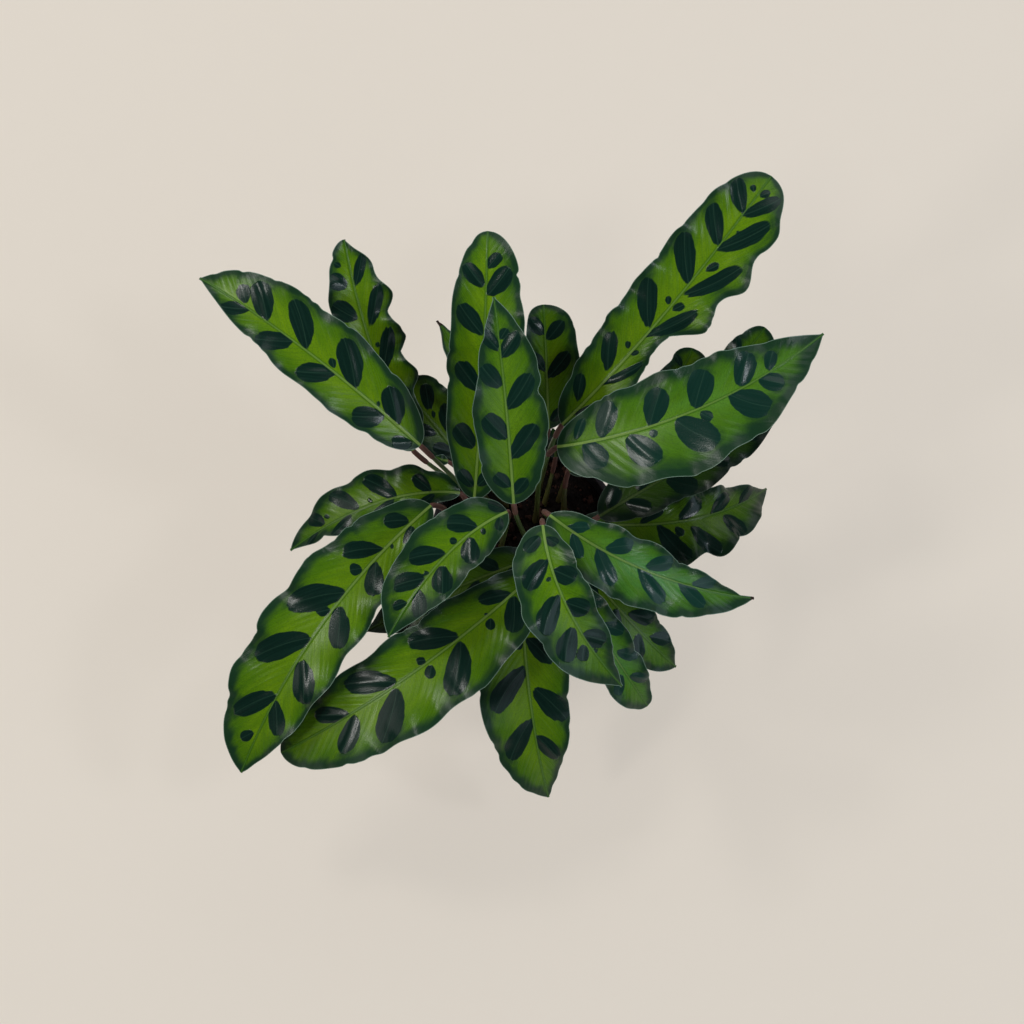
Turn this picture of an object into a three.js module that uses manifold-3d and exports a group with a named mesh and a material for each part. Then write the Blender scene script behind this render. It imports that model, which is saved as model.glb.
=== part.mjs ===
// Potted rattlesnake plant: a prayer plant with long, waved, patterned leaves in a 13 cm nursery pot.
// Millimetres, +Z up. The origin is the centre of the pot's foot, where it stands.
import * as THREE from "three";
import { mergeVertices } from "three/addons/utils/BufferGeometryUtils.js";
import Module from "manifold-3d";

const wasm = await Module();
wasm.setup();

// Driving dimensions
const GAP = 0.3; // clearance kept between touching pieces
const SIDES = 32; // facets round the pot and the soil

const POT = {
  rimRadius: 65, // 13 cm nursery pot, over the rim
  footRadius: 47,
  height: 116,
  wall: 1.6,
  rimBand: 10, // height of the stiffening band under the rim
  rimStep: 2.2, // how far the band stands out from the wall
  floor: 2,
  rounding: 1, // the corners' chamfer
  drainRing: 33, // the drain holes' pitch circle
  drainRadius: 5,
  drainCount: 6,
};
const SOIL = {
  level: 104, // height where it meets the pot
  crown: 5, // how much higher its middle is
  lump: 1.6, // height of the lumps
  coarse: [0.31, 0.27], // the lumps' spacing across and along, in radians per millimetre
  fine: [0.83, 0.71],
};

const STALK = {
  footRadius: 1.9,
  topRadius: 1.4,
  swelling: 0.45, // the joint under the blade, where the stalk is thicker
  swellLength: 15,
  buried: 18,
  sides: 6,
  lean: 0.5, // how much of its lean a stalk already has where it leaves the soil
  rise: 0.35, // how far its first direction reaches, as a share of its length
  bend: 0.2, // how long its last bend is, as a share of its length
  turn: 0.5, // how far that bend turns towards the midrib's own direction
};

const BLADE = {
  thickness: 0.7,
  ribDepth: 1.1, // how far the midrib stands out below the blade
  neckHalfWidth: 1.5, // the blade's half width where the stalk meets it
  tipHalfWidth: 0.9,
  stationStep: 9, // spacing of the cross sections along the rib
  crowding: 0.5, // how much closer together they stand near both ends, as a share of that spacing
  fold: 0.12, // how far each side rises towards its margin, as a share of the half width
  fade: 0.6, // how quickly the margin's waves grow from nothing at both ends
  hook: 0.2, // the share of the blade, at its tip, that hooks down
};
// The blade's cross section: places across it, from the left margin (-1) to the right one (1).
const ACROSS = [-1, -0.55, -0.1, 0, 0.1, 0.55, 1];

// Every leaf: where its stalk leaves the soil, then three places on its midrib, at the base, halfway and
// at the tip. half is the blade's half width on the left and on the right of the rib, widest where along
// it these lie, point how blunt the tip is, and scallop how far the margin's waves move it in and out, as
// a share of the half width. A taper of 0.5 rounds the tip's end, and a nip brings one margin in. waves
// are their height, their count along the leaf and their phase on the left and on the right, in turns.
// roll turns the blade about its rib, in degrees, at the base and at the tip, and curl is how far the tip
// hooks down. A leaf whose stalk passes close to another has its own turn and bend in place of STALK's.
const LEAVES = [
  { id: "01", foot: [8, 34], base: [22, 59, 205], mid: [87, 123, 246], tip: [152, 206, 264],
    half: [27, 27], roll: [4, 6], waves: [3, 6, 0.9, 0.86], widest: [0.5, 0.5], point: [4, 5],
    taper: [0.5, 0.5], nip: [1, 0.38, 0.62, 0.11], scallop: [0.03, 0.15], curl: 6 },
  { id: "02", foot: [6, 14], base: [18, 38, 236], mid: [104, 56, 264], tip: [182, 105, 256],
    half: [29, 37], roll: [0, 0], waves: [3, 4.3, 0.3, 0.07], widest: [0.38, 0.42], point: [2.6, 1.8],
    scallop: [0.03, 0.06], curl: 0 },
  { id: "03", foot: [-20, 11], base: [-68, 44, 212], mid: [-139, 99, 240], tip: [-207, 147, 236],
    half: [21, 28], roll: [0, 0], waves: [2.5, 4, 0.8, 0.5], widest: [0.3, 0.45], point: [2.4, 3.6],
    scallop: [0.04, 0.03], curl: 2 },
  { id: "04", foot: [-19, 18], base: [-74, 47, 182], mid: [-101, 112, 206], tip: [-117, 175, 226],
    half: [20, 21], roll: [0, 8], waves: [4, 5, 0.3, 0.5], widest: [0.45, 0.45], point: [2.2, 4],
    taper: [0.5, 1], scallop: [0.05, 0.16], curl: 0, turn: 0.3 },
  { id: "05", foot: [-14, 25], base: [-43, 48, 150], mid: [-65, 72, 168], tip: [-88, 100, 172],
    half: [16, 23], roll: [0, 0], waves: [1.5, 2.5, 0.4, 0], widest: [0.42, 0.42], point: [3, 3],
    scallop: [0.05, 0.05], curl: 0 },
  { id: "06", foot: [-23, 0], base: [-34, 12, 200], mid: [-28, 86, 246], tip: [-25, 169, 268],
    half: [22, 24.5], roll: [0, 0], waves: [2.5, 4, 0, 0.4], widest: [0.45, 0.45], point: [3, 3.5],
    taper: [0.5, 0.5], scallop: [0.03, 0.04], curl: 6 },
  { id: "07", foot: [1, -4], base: [-9, 4, 226], mid: [-14, 60, 268], tip: [-21, 119, 292],
    half: [20.5, 24.5], roll: [0, 0], waves: [2.5, 3, 0.6, 0.9], widest: [0.35, 0.4], point: [1.9, 2.6],
    scallop: [0.06, 0.03], curl: 3 },
  { id: "08", foot: [-1, 33], base: [14, 64, 170], mid: [12, 98, 204], tip: [10, 135, 221],
    half: [12, 21], roll: [0, 0], waves: [2, 2.6, 0.2, 0.7], widest: [0.5, 0.55], point: [6, 3],
    taper: [0.5, 0.5], scallop: [0.04, 0.04], curl: 5 },
  { id: "09", foot: [-10, 32], base: [-30, 59, 160], mid: [-40, 92, 196], tip: [-58, 126, 210],
    half: [9, 14], roll: [0, 30], waves: [1.5, 2.4, 0, 0.5], widest: [0.42, 0.42], point: [2.4, 2.4],
    scallop: [0.05, 0.05], curl: 0 },
  { id: "10", foot: [-33, -4], base: [-44, 22, 166], mid: [-99, 15, 166], tip: [-158, -10, 128],
    half: [11.5, 20.5], roll: [0, 0], waves: [3.5, 4.4, 0.9, 0.9], widest: [0.5, 0.5], point: [2.4, 2.6],
    scallop: [0.14, 0.07], curl: 0 },
  { id: "11", foot: [-29, -11], base: [-62, 10, 186], mid: [-133, -68, 178], tip: [-189, -157, 118],
    half: [26, 34], roll: [0, 0], waves: [3.5, 5.5, 0.59, 0.02], widest: [0.55, 0.56], point: [2.4, 3.2],
    taper: [0.85, 0.8], scallop: [0.05, 0.06], curl: 0 },
  { id: "12", foot: [-18, -8], base: [-13, 1, 214], mid: [-52, -28, 216], tip: [-88, -76, 196],
    half: [19.5, 24], roll: [0, 0], waves: [2.5, 2.8, 0.15, 0.65], widest: [0.5, 0.5], point: [2.2, 3.4],
    scallop: [0.04, 0.04], curl: 2, bend: 0.06 },
  { id: "13", foot: [5, -23], base: [6, -30, 166], mid: [-74, -96, 166], tip: [-163, -144, 116],
    half: [35, 26], roll: [0, 0], waves: [3.5, 5, 0.25, 0.6], widest: [0.45, 0.45], point: [3, 2.8],
    taper: [0.6, 0.55], scallop: [0.04, 0.04], curl: 0 },
  { id: "14", foot: [0, -31], base: [-3, -44, 140], mid: [2, -110, 122], tip: [15, -171, 60],
    half: [27, 32.5], roll: [0, 0], waves: [3, 3, 0, 0.5], widest: [0.42, 0.42], point: [2, 2.8],
    taper: [0.85, 0.8], scallop: [0.04, 0.03], curl: 0 },
  { id: "15", foot: [11, -1], base: [9, -11, 234], mid: [24, -63, 238], tip: [59, -107, 196],
    half: [17, 27], roll: [0, 0], waves: [2.5, 3.6, 0.4, 0.4], widest: [0.4, 0.45], point: [3, 2.6],
    scallop: [0.06, 0.04], curl: 0 },
  { id: "16", foot: [21, 6], base: [13.5, -2.5, 222], mid: [74, -37, 216], tip: [145, -49, 178],
    half: [18, 24.5], roll: [0, 0], waves: [3, 4.5, 0.75, 0.98], widest: [0.45, 0.42], point: [1.3, 2.6],
    scallop: [0.08, 0.04], curl: 0 },
  { id: "17", foot: [20, -8], base: [35, -21, 150], mid: [68, -60, 142], tip: [100, -86, 108],
    half: [16, 20], roll: [0, 0], waves: [3, 3.2, 0.5, 0.1], widest: [0.45, 0.45], point: [3, 3.2],
    scallop: [0.04, 0.05], curl: 0 },
  { id: "18", foot: [13, -18], base: [25, -35, 166], mid: [53, -79, 160], tip: [80, -113, 118],
    half: [15.5, 17], roll: [0, 0], waves: [3, 4, 0.2, 0.8], widest: [0.42, 0.46], point: [2.5, 3.5],
    taper: [0.5, 0.5], scallop: [0.05, 0.06], curl: 0 },
  { id: "19", foot: [27, 3], base: [35, 5, 150], mid: [104, 3, 172], tip: [161, 32, 127], half: [18, 28],
    roll: [0, 0], waves: [4, 5.5, 0.3, 0.62], widest: [0.5, 0.5], point: [2.8, 1.9],
    scallop: [0.05, 0.1], curl: 0 },
  { id: "20", foot: [27, -9], base: [46, 3, 186], mid: [106, 36, 204], tip: [162, 69, 202],
    half: [22, 19.5], roll: [0, 0], waves: [3, 3.4, 0, 0.3], widest: [0.4, 0.48], point: [2.6, 2.2],
    scallop: [0.04, 0.06], curl: 0, turn: 0.9, bend: 0.3 },
  { id: "21", foot: [25, 18], base: [28, 41, 142], mid: [104, 79, 182], tip: [153, 123, 204],
    half: [11.5, 21], roll: [0, 0], waves: [3, 4.4, 0.3, 0.2], widest: [0.55, 0.55], point: [5, 4],
    taper: [0.5, 0.5], scallop: [0.08, 0.05], curl: 0 },
  { id: "22", foot: [22, 28], base: [32, 52, 134], mid: [84, 84, 164], tip: [108, 116, 179],
    half: [10.5, 18], roll: [0, 0], waves: [2.5, 3, 0.1, 0.6], widest: [0.6, 0.6], point: [5, 4],
    taper: [0.5, 0.5], scallop: [0.06, 0.05], curl: 0 },
  { id: "23", foot: [5, -12], base: [6, -18, 150], mid: [-52, -42, 158], tip: [-107, -65, 132],
    half: [18, 18], roll: [0, 0], waves: [2.5, 3.2, 0.4, 0.8], widest: [0.42, 0.42], point: [2.6, 2.6],
    scallop: [0.05, 0.05], curl: 0 },
  { id: "24", foot: [-6, -14], base: [-9, -14, 132], mid: [-22, -27, 147], tip: [-34, -44, 146],
    half: [7, 7], roll: [0, 0], waves: [1, 1.6, 0, 0.5], widest: [0.42, 0.42], point: [2.4, 2.4],
    scallop: [0.05, 0.05], curl: 0 },
  { id: "25", foot: [-23, 24], base: [-52, 43, 168], mid: [-56, 43, 172], tip: [-60, 45, 172],
    half: [3.5, 3.5], roll: [0, 0], waves: [0, 1, 0, 0], widest: [0.42, 0.42], point: [2.4, 2.4],
    scallop: [0, 0], curl: 0 },
  { id: "26", foot: [12, 25], base: [19, 50, 146], mid: [18, 58, 153], tip: [17, 67, 157], half: [6, 6],
    roll: [0, 0], waves: [1, 1.6, 0.2, 0.7], widest: [0.42, 0.42], point: [2.6, 2.6],
    scallop: [0.05, 0.05], curl: 0 },
];

// Materials: the colours that the photograph shows
const upperGreen = new THREE.MeshStandardMaterial({ color: 0x5c8f1d, roughness: 0.45, metalness: 0 });
const stalkGreen = new THREE.MeshStandardMaterial({ color: 0x4b5a34, roughness: 0.55, metalness: 0 });
const darkPeat = new THREE.MeshStandardMaterial({ color: 0x3a2a20, roughness: 0.95, metalness: 0 });
const potPlastic = new THREE.MeshStandardMaterial({ color: 0x26282a, roughness: 0.6, metalness: 0 });

const group = new THREE.Group();

function addPart(name, geometry, material) {
  const mesh = new THREE.Mesh(geometry, material);
  mesh.name = name;
  group.add(mesh);
}

// A closed three.js geometry becomes a solid that can be cut, and the solid a geometry again.
function toSolid(geometry) {
  const bare = geometry.clone();
  bare.deleteAttribute("normal");
  bare.deleteAttribute("uv");
  const merged = mergeVertices(bare, 1e-3);
  const vertProperties = new Float32Array(merged.attributes.position.array);
  const triVerts = new Uint32Array(merged.index.array);
  return new wasm.Manifold(new wasm.Mesh({ numProp: 3, vertProperties, triVerts }));
}

function toGeometry(solid) {
  const mesh = solid.getMesh();
  const geometry = new THREE.BufferGeometry();
  geometry.setAttribute("position", new THREE.BufferAttribute(new Float32Array(mesh.vertProperties), 3));
  geometry.setIndex(new THREE.BufferAttribute(new Uint32Array(mesh.triVerts), 1));
  return geometry;
}

// A closed body from rings of points that all have the same count, capped at both ends.
function loft(rings) {
  const count = rings[0].length;
  const positions = rings.flat().flatMap((point) => [point.x, point.y, point.z]);
  const index = [];
  for (let ring = 0; ring < rings.length - 1; ring += 1) {
    for (let side = 0; side < count; side += 1) {
      const a = ring * count + side;
      const b = ring * count + ((side + 1) % count);
      index.push(a, b, b + count, a, b + count, a + count);
    }
  }
  const last = (rings.length - 1) * count;
  for (let side = 1; side < count - 1; side += 1) {
    index.push(0, side + 1, side);
    index.push(last, last + side, last + side + 1);
  }
  const geometry = new THREE.BufferGeometry();
  geometry.setAttribute("position", new THREE.Float32BufferAttribute(positions, 3));
  geometry.setIndex(index);
  return geometry;
}

// Pot: a tapered, thin-walled nursery pot with a stiffening band at the rim and drain holes in its floor.
function outerRadius(z) {
  const top = POT.rimRadius - POT.rimStep;
  return POT.footRadius + ((top - POT.footRadius) * z) / POT.height;
}

function innerRadius(z) {
  return outerRadius(z) - POT.wall;
}

function lathe(profile) {
  const points = profile.map(([radius, z]) => new THREE.Vector2(radius, z));
  return new THREE.LatheGeometry(points, SIDES).rotateX(Math.PI / 2);
}

function pot() {
  const { height, floor, footRadius, rimRadius, rimBand, rimStep, wall, rounding } = POT;
  const bandFoot = height - rimBand;
  const profile = [
    [0, 0],
    [footRadius - rounding, 0],
    [footRadius, rounding],
    [outerRadius(bandFoot - rimStep), bandFoot - rimStep],
    [rimRadius - rounding, bandFoot],
    [rimRadius, height - rounding],
    [rimRadius - rounding, height],
    [innerRadius(height) + rounding / 2, height],
    [innerRadius(height - rounding), height - rounding],
    [innerRadius(floor + wall), floor + wall],
    [innerRadius(floor) - rounding, floor],
    [0, floor],
  ];
  let body = toSolid(lathe(profile));
  for (let hole = 0; hole < POT.drainCount; hole += 1) {
    const turn = (hole * 2 * Math.PI) / POT.drainCount;
    const drill = new THREE.CylinderGeometry(POT.drainRadius, POT.drainRadius, 3 * floor, 8);
    drill.rotateX(Math.PI / 2);
    drill.translate(POT.drainRing * Math.cos(turn), POT.drainRing * Math.sin(turn), floor / 2);
    body = body.subtract(toSolid(drill));
  }
  return toGeometry(body);
}

// Leaves: the midrib is the parabola through its three places.
const toVector = (place) => new THREE.Vector3(...place);

function ribCurve(leaf) {
  const [base, mid, tip] = [leaf.base, leaf.mid, leaf.tip].map(toVector);
  const handle = mid.clone().multiplyScalar(2);
  handle.addScaledVector(base, -0.5);
  handle.addScaledVector(tip, -0.5);
  return new THREE.QuadraticBezierCurve3(base, handle, tip);
}

// The frame of the blade at a place along its rib: the rib's direction, the left side and the upper side.
function bladeFrame(leaf, curve, along) {
  const forward = curve.getTangent(along);
  const left = new THREE.Vector3(0, 0, 1).cross(forward).normalize();
  const roll = THREE.MathUtils.degToRad(THREE.MathUtils.lerp(leaf.roll[0], leaf.roll[1], along));
  left.applyAxisAngle(forward, roll);
  const up = forward.clone().cross(left);
  return { forward, left, up };
}

// The blade's half width along the rib, as a share of its widest: an elliptic base and a tapering tip.
function outline(leaf, along, side) {
  const widest = leaf.widest[side];
  if (along < widest) {
    return Math.sqrt(1 - ((widest - along) / widest) ** 2);
  }
  const narrowing = 1 - ((along - widest) / (1 - widest)) ** leaf.point[side];
  return narrowing ** (leaf.taper ? leaf.taper[side] : 1);
}

// A nip is a place where a leaf's margin comes in: its side, its place along the rib, its depth as a
// share of the width there and its reach along the rib.
function nipped(leaf, along, side) {
  if (!leaf.nip || leaf.nip[0] !== side) {
    return 1;
  }
  const [, place, depth, reach] = leaf.nip;
  return 1 - depth * Math.exp(-(((along - place) / reach) ** 2));
}

// A point of the blade. across runs from the left margin at -1 to the right one at 1.
function bladePoint(leaf, curve, along, across, depth) {
  const { left, up } = bladeFrame(leaf, curve, along);
  const [height, count, leftPhase, rightPhase] = leaf.waves;
  const side = across < 0 ? 0 : 1;
  const phase = side === 0 ? leftPhase : rightPhase;
  const turn = 2 * Math.PI * (count * along + phase);
  const fade = Math.sin(Math.PI * along) ** BLADE.fade;
  const neck = THREE.MathUtils.lerp(BLADE.neckHalfWidth, BLADE.tipHalfWidth, along);
  const scallop = 1 + leaf.scallop[side] * Math.cos(turn) * fade;
  const shape = outline(leaf, along, side) * nipped(leaf, along, side);
  const halfWidth = Math.max(neck, leaf.half[side] * shape * scallop);
  const fold = BLADE.fold * Math.abs(across) * halfWidth;
  const wave = height * across ** 2 * Math.sin(turn) * fade;
  const point = curve.getPoint(along);
  point.addScaledVector(left, -across * halfWidth);
  point.addScaledVector(up, fold + wave - depth);
  point.z -= leaf.curl * Math.max(0, (along - 1 + BLADE.hook) / BLADE.hook) ** 2;
  return point;
}

function blade(leaf) {
  const curve = ribCurve(leaf);
  const stations = Math.max(3, Math.round(curve.getLength() / BLADE.stationStep));
  const columns = ACROSS.length;
  const rows = stations + 1;
  const positions = [];
  for (const under of [false, true]) {
    for (let row = 0; row < rows; row += 1) {
      const even = row / stations;
      const along = even - (BLADE.crowding * Math.sin(2 * Math.PI * even)) / (2 * Math.PI);
      for (const across of ACROSS) {
        const onRib = across === 0 ? BLADE.ribDepth : 0;
        const depth = under ? BLADE.thickness + onRib : 0;
        positions.push(...bladePoint(leaf, curve, along, across, depth));
      }
    }
  }
  const below = rows * columns;
  const index = [];
  // Both faces are split along the same diagonals, so that they stay a blade's thickness apart.
  for (let row = 0; row < stations; row += 1) {
    for (let column = 0; column < columns - 1; column += 1) {
      const a = row * columns + column;
      const [b, c, d] = [a + 1, a + columns, a + columns + 1];
      index.push(a, b, d, a, d, c);
      index.push(below + a, below + d, below + b, below + a, below + c, below + d);
    }
    const leftEdge = row * columns;
    const rightEdge = leftEdge + columns - 1;
    index.push(leftEdge, leftEdge + columns, below + leftEdge + columns);
    index.push(leftEdge, below + leftEdge + columns, below + leftEdge);
    index.push(rightEdge, below + rightEdge + columns, rightEdge + columns);
    index.push(rightEdge, below + rightEdge, below + rightEdge + columns);
  }
  for (let column = 0; column < columns - 1; column += 1) {
    const far = stations * columns + column;
    index.push(column, below + column + 1, column + 1, column, below + column, below + column + 1);
    index.push(far, far + 1, below + far + 1, far, below + far + 1, below + far);
  }
  const geometry = new THREE.BufferGeometry();
  geometry.setAttribute("position", new THREE.Float32BufferAttribute(positions, 3));
  geometry.setIndex(index);
  return geometry;
}

// Stalks: each rises from its hole in the soil and turns into the line of its leaf's midrib.
function soilTop(x, y) {
  const share = Math.hypot(x, y) / innerRadius(SOIL.level);
  const { level, crown, lump, coarse, fine } = SOIL;
  const mounds = Math.sin(x * coarse[0] + 1) * Math.cos(y * coarse[1]);
  const clods = Math.sin(x * fine[0] + y * fine[1]);
  return level + crown * (1 - share ** 2) + lump * (mounds + 0.6 * clods) * (1 - share ** 4);
}

function stalkCurve(leaf) {
  const curve = ribCurve(leaf);
  const { forward, up } = bladeFrame(leaf, curve, 0);
  const top = curve.getPoint(0);
  top.addScaledVector(forward, -GAP);
  top.addScaledVector(up, -0.5 * (BLADE.thickness + BLADE.ribDepth));
  const [x, y] = leaf.foot;
  const foot = new THREE.Vector3(x, y, soilTop(x, y));
  const lean = top.clone().sub(foot);
  const reach = lean.length();
  const rising = new THREE.Vector3(STALK.lean * lean.x, STALK.lean * lean.y, lean.z).normalize();
  const { turn = STALK.turn, bend = STALK.bend } = leaf;
  const arriving = lean.normalize().lerp(forward, turn).normalize();
  const start = foot.clone().addScaledVector(rising, STALK.rise * reach);
  const end = top.clone().addScaledVector(arriving, -bend * reach);
  return new THREE.CubicBezierCurve3(foot, start, end, top);
}

function ring(center, forward, radius, sides) {
  const left = new THREE.Vector3(0, 0, 1).cross(forward);
  if (left.length() < 0.05) {
    left.set(1, 0, 0);
  }
  left.normalize();
  const up = forward.clone().cross(left);
  const points = [];
  for (let side = 0; side < sides; side += 1) {
    const turn = (2 * Math.PI * side) / sides;
    const point = center.clone();
    point.addScaledVector(left, radius * Math.cos(turn));
    point.addScaledVector(up, radius * Math.sin(turn));
    points.push(point);
  }
  return points;
}

function stalk(leaf) {
  const curve = stalkCurve(leaf);
  const length = curve.getLength();
  const down = curve.getTangent(0);
  const root = curve.getPoint(0).addScaledVector(down, -STALK.buried);
  const rings = [ring(root, down, STALK.footRadius, STALK.sides)];
  const steps = Math.max(4, Math.round(length / 16));
  for (let step = 0; step <= steps; step += 1) {
    const along = step / steps;
    const fromTop = (1 - along) * length;
    const swollen = fromTop < STALK.swellLength ? STALK.swelling : 0;
    const radius = THREE.MathUtils.lerp(STALK.footRadius, STALK.topRadius, along) + swollen;
    const forward = step < steps ? curve.getTangentAt(along) : ribCurve(leaf).getTangent(0);
    rings.push(ring(curve.getPointAt(along), forward, radius, STALK.sides));
  }
  return loft(rings);
}

// Soil: fills the pot to below the rim, lumpy on top, with a plain hole for every stalk.
function soil() {
  const floor = POT.floor + GAP;
  const radii = [0, 10, 20, 30, 40, 50, innerRadius(SOIL.level) - GAP];
  const profile = [[0, floor], [innerRadius(floor) - POT.wall - GAP, floor]];
  for (const radius of radii.toReversed()) {
    profile.push([radius, SOIL.level]);
  }
  const geometry = lathe(profile);
  const position = geometry.attributes.position;
  for (let i = 0; i < position.count; i += 1) {
    const [x, y, z] = [position.getX(i), position.getY(i), position.getZ(i)];
    if (z > SOIL.level - 1) {
      position.setZ(i, soilTop(x, y));
    }
  }
  let body = toSolid(geometry);
  for (const leaf of LEAVES) {
    const curve = stalkCurve(leaf);
    const down = curve.getTangent(0);
    const radius = (STALK.footRadius + GAP) / Math.cos(Math.PI / STALK.sides);
    const bottom = curve.getPoint(0).addScaledVector(down, -STALK.buried - GAP);
    const above = curve.getPoint(0).addScaledVector(down, 6);
    const drill = loft([bottom, above].map((center) => ring(center, down, radius, STALK.sides)));
    body = body.subtract(toSolid(drill));
  }
  return toGeometry(body);
}

addPart("pot", pot(), potPlastic);
addPart("soil", soil(), darkPeat);
for (const leaf of LEAVES) {
  addPart(`leaf_${leaf.id}_blade`, blade(leaf), upperGreen);
  addPart(`leaf_${leaf.id}_stalk`, stalk(leaf), stalkGreen);
}

export default group;
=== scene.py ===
# %% [markdown]
# # A potted rattlesnake plant
# The plant is a clump of long, waved, patterned leaves on thin stalks, rooted in peat in a plain 13 cm
# nursery pot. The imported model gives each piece's place and main shape. This lesson makes every piece again
# as a fine mesh in the same place, and gives it the surface of the real one.
# Sizes are written in millimetres, as a grower or a pot maker would give them, and turned into metres once.

# %% Load the frame
import math
import bmesh
import bpy
import numpy as np
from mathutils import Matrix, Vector


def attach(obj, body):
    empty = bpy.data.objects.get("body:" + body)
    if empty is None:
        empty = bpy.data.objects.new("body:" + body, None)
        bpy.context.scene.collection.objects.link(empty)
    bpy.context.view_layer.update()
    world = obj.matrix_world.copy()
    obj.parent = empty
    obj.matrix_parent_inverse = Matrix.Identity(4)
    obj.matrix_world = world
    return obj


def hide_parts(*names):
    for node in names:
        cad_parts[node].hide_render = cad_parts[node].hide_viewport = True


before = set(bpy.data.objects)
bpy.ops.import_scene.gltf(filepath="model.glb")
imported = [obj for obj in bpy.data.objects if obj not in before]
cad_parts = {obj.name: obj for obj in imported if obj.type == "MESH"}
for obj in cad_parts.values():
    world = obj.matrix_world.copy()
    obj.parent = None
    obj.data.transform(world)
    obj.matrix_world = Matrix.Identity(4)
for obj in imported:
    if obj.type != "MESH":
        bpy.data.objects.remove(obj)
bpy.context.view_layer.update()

# %% [markdown]
# ## Small tools
# Blender counts in metres, and its shaders want linear colour, while a colour is read off a photograph as
# sRGB hex. One function turns hex into linear. Another makes a mesh object from arrays of points and faces:
# numpy works out a whole leaf at once, where bmesh would visit each of its thousands of points in turn. The
# stalks, the soil and the pot are all closed tubes of rings, so a third function joins rings with faces.

# %% Units, colour and mesh tools
MM = 0.001


def linear(hex_colour):
    """sRGB hex to a linear colour with alpha 1."""
    channels = [int(hex_colour[i:i + 2], 16) / 255 for i in (1, 3, 5)]
    return (*(c / 12.92 if c <= 0.04045 else ((c + 0.055) / 1.055) ** 2.4 for c in channels), 1)


def make_object(name, points, faces, materials, fields=None):
    """A mesh object from points in mm, with smooth faces and one float attribute for each field."""
    mesh = bpy.data.meshes.new(name)
    mesh.from_pydata((points * MM).tolist(), [], faces if isinstance(faces, list) else faces.tolist())
    for material in materials:
        mesh.materials.append(material)
    for field, values in (fields or {}).items():
        attribute = mesh.attributes.new(field, "FLOAT", "POINT")
        attribute.data.foreach_set("value", np.asarray(values, np.float32).ravel())
    mesh.shade_smooth()
    piece = bpy.data.objects.new(name, mesh)
    bpy.context.scene.collection.objects.link(piece)
    return piece


def tube_faces(rows, sides, downward=False):
    """The faces of a closed tube of rings, its walls and then its ends, for rings that run up or downward."""
    index = np.arange(rows * sides).reshape(rows, sides)
    following = np.roll(index, -1, axis=1)
    walls = np.stack([index[:-1], following[:-1], following[1:], index[1:]], -1).reshape(-1, 4)
    ends = [index[0, ::-1].tolist(), index[-1].tolist()]
    if downward:
        walls, ends = walls[:, [0, 3, 2, 1]], [end[::-1] for end in ends]
    return walls.tolist() + ends


def settle(piece, node):
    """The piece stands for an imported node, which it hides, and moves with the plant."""
    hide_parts(node)
    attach(piece, "root")


def add(tree, kind, inputs=None, **settings):
    """Adds one node, with its settings, and sets or links its inputs."""
    node = tree.nodes.new("ShaderNode" + kind)
    for name, value in settings.items():
        setattr(node, name, value)
    for name, value in (inputs or {}).items():
        if isinstance(value, bpy.types.NodeSocket):
            tree.links.new(value, node.inputs[name])
        else:
            node.inputs[name].default_value = value
    return node


def new_material(name):
    """An empty material with a Principled shader, and its node tree and shader."""
    material = bpy.data.materials.new(name)
    material.use_nodes = True
    return material, material.node_tree, material.node_tree.nodes["Principled BSDF"]


print("white turned linear:", linear("#FFFFFF"))

# %% [markdown]
# ## The camera
# The photograph looks almost straight down on the plant, a little from the front, and the plant floats on a
# plain pale ground. A long lens keeps the near leaves from growing too large.

# %% Camera
LOOK_AT = np.array((-10, -2, 230)) * MM
DISTANCE = 1.27
ELEVATION = math.radians(80)

camera_data = bpy.data.cameras.new("camera")
camera_data.lens = 72
camera_data.sensor_width = 36
camera = bpy.data.objects.new("camera", camera_data)
camera.location = LOOK_AT + DISTANCE * np.array((0, -math.cos(ELEVATION), math.sin(ELEVATION)))
camera.rotation_euler = (math.pi / 2 - ELEVATION, 0, 0)
bpy.context.scene.collection.objects.link(camera)
bpy.context.scene.camera = camera
print("camera at", tuple(round(v, 3) for v in camera.location))

# %% [markdown]
# ## The leaves' places
# Each leaf has a stalk that leaves the soil at `foot`, and a midrib through three places: `base`, `mid` and
# `tip`. `half` is the blade's half width on the left and on the right of the rib, `widest` says where along
# the rib these lie, `point` how blunt the tip is, and `scallop` how far the margin's waves move it in and
# out. `taper` is 0.5 for a tip with a rounded end. `nip` is a place where one margin comes in: its side, its
# place, its depth as a share of the width, and its reach along the rib. `waves` are their height, their count
# along the leaf, and their phase on the left and on the right, in turns. `roll` turns the blade about its
# rib, in degrees, and `curl` is how far the tip hooks down. `turn` and `bend` are a stalk's own way to come
# in under its blade, where the usual one would meet another stalk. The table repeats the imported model's own,
# because no file but the frame is read.

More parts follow.
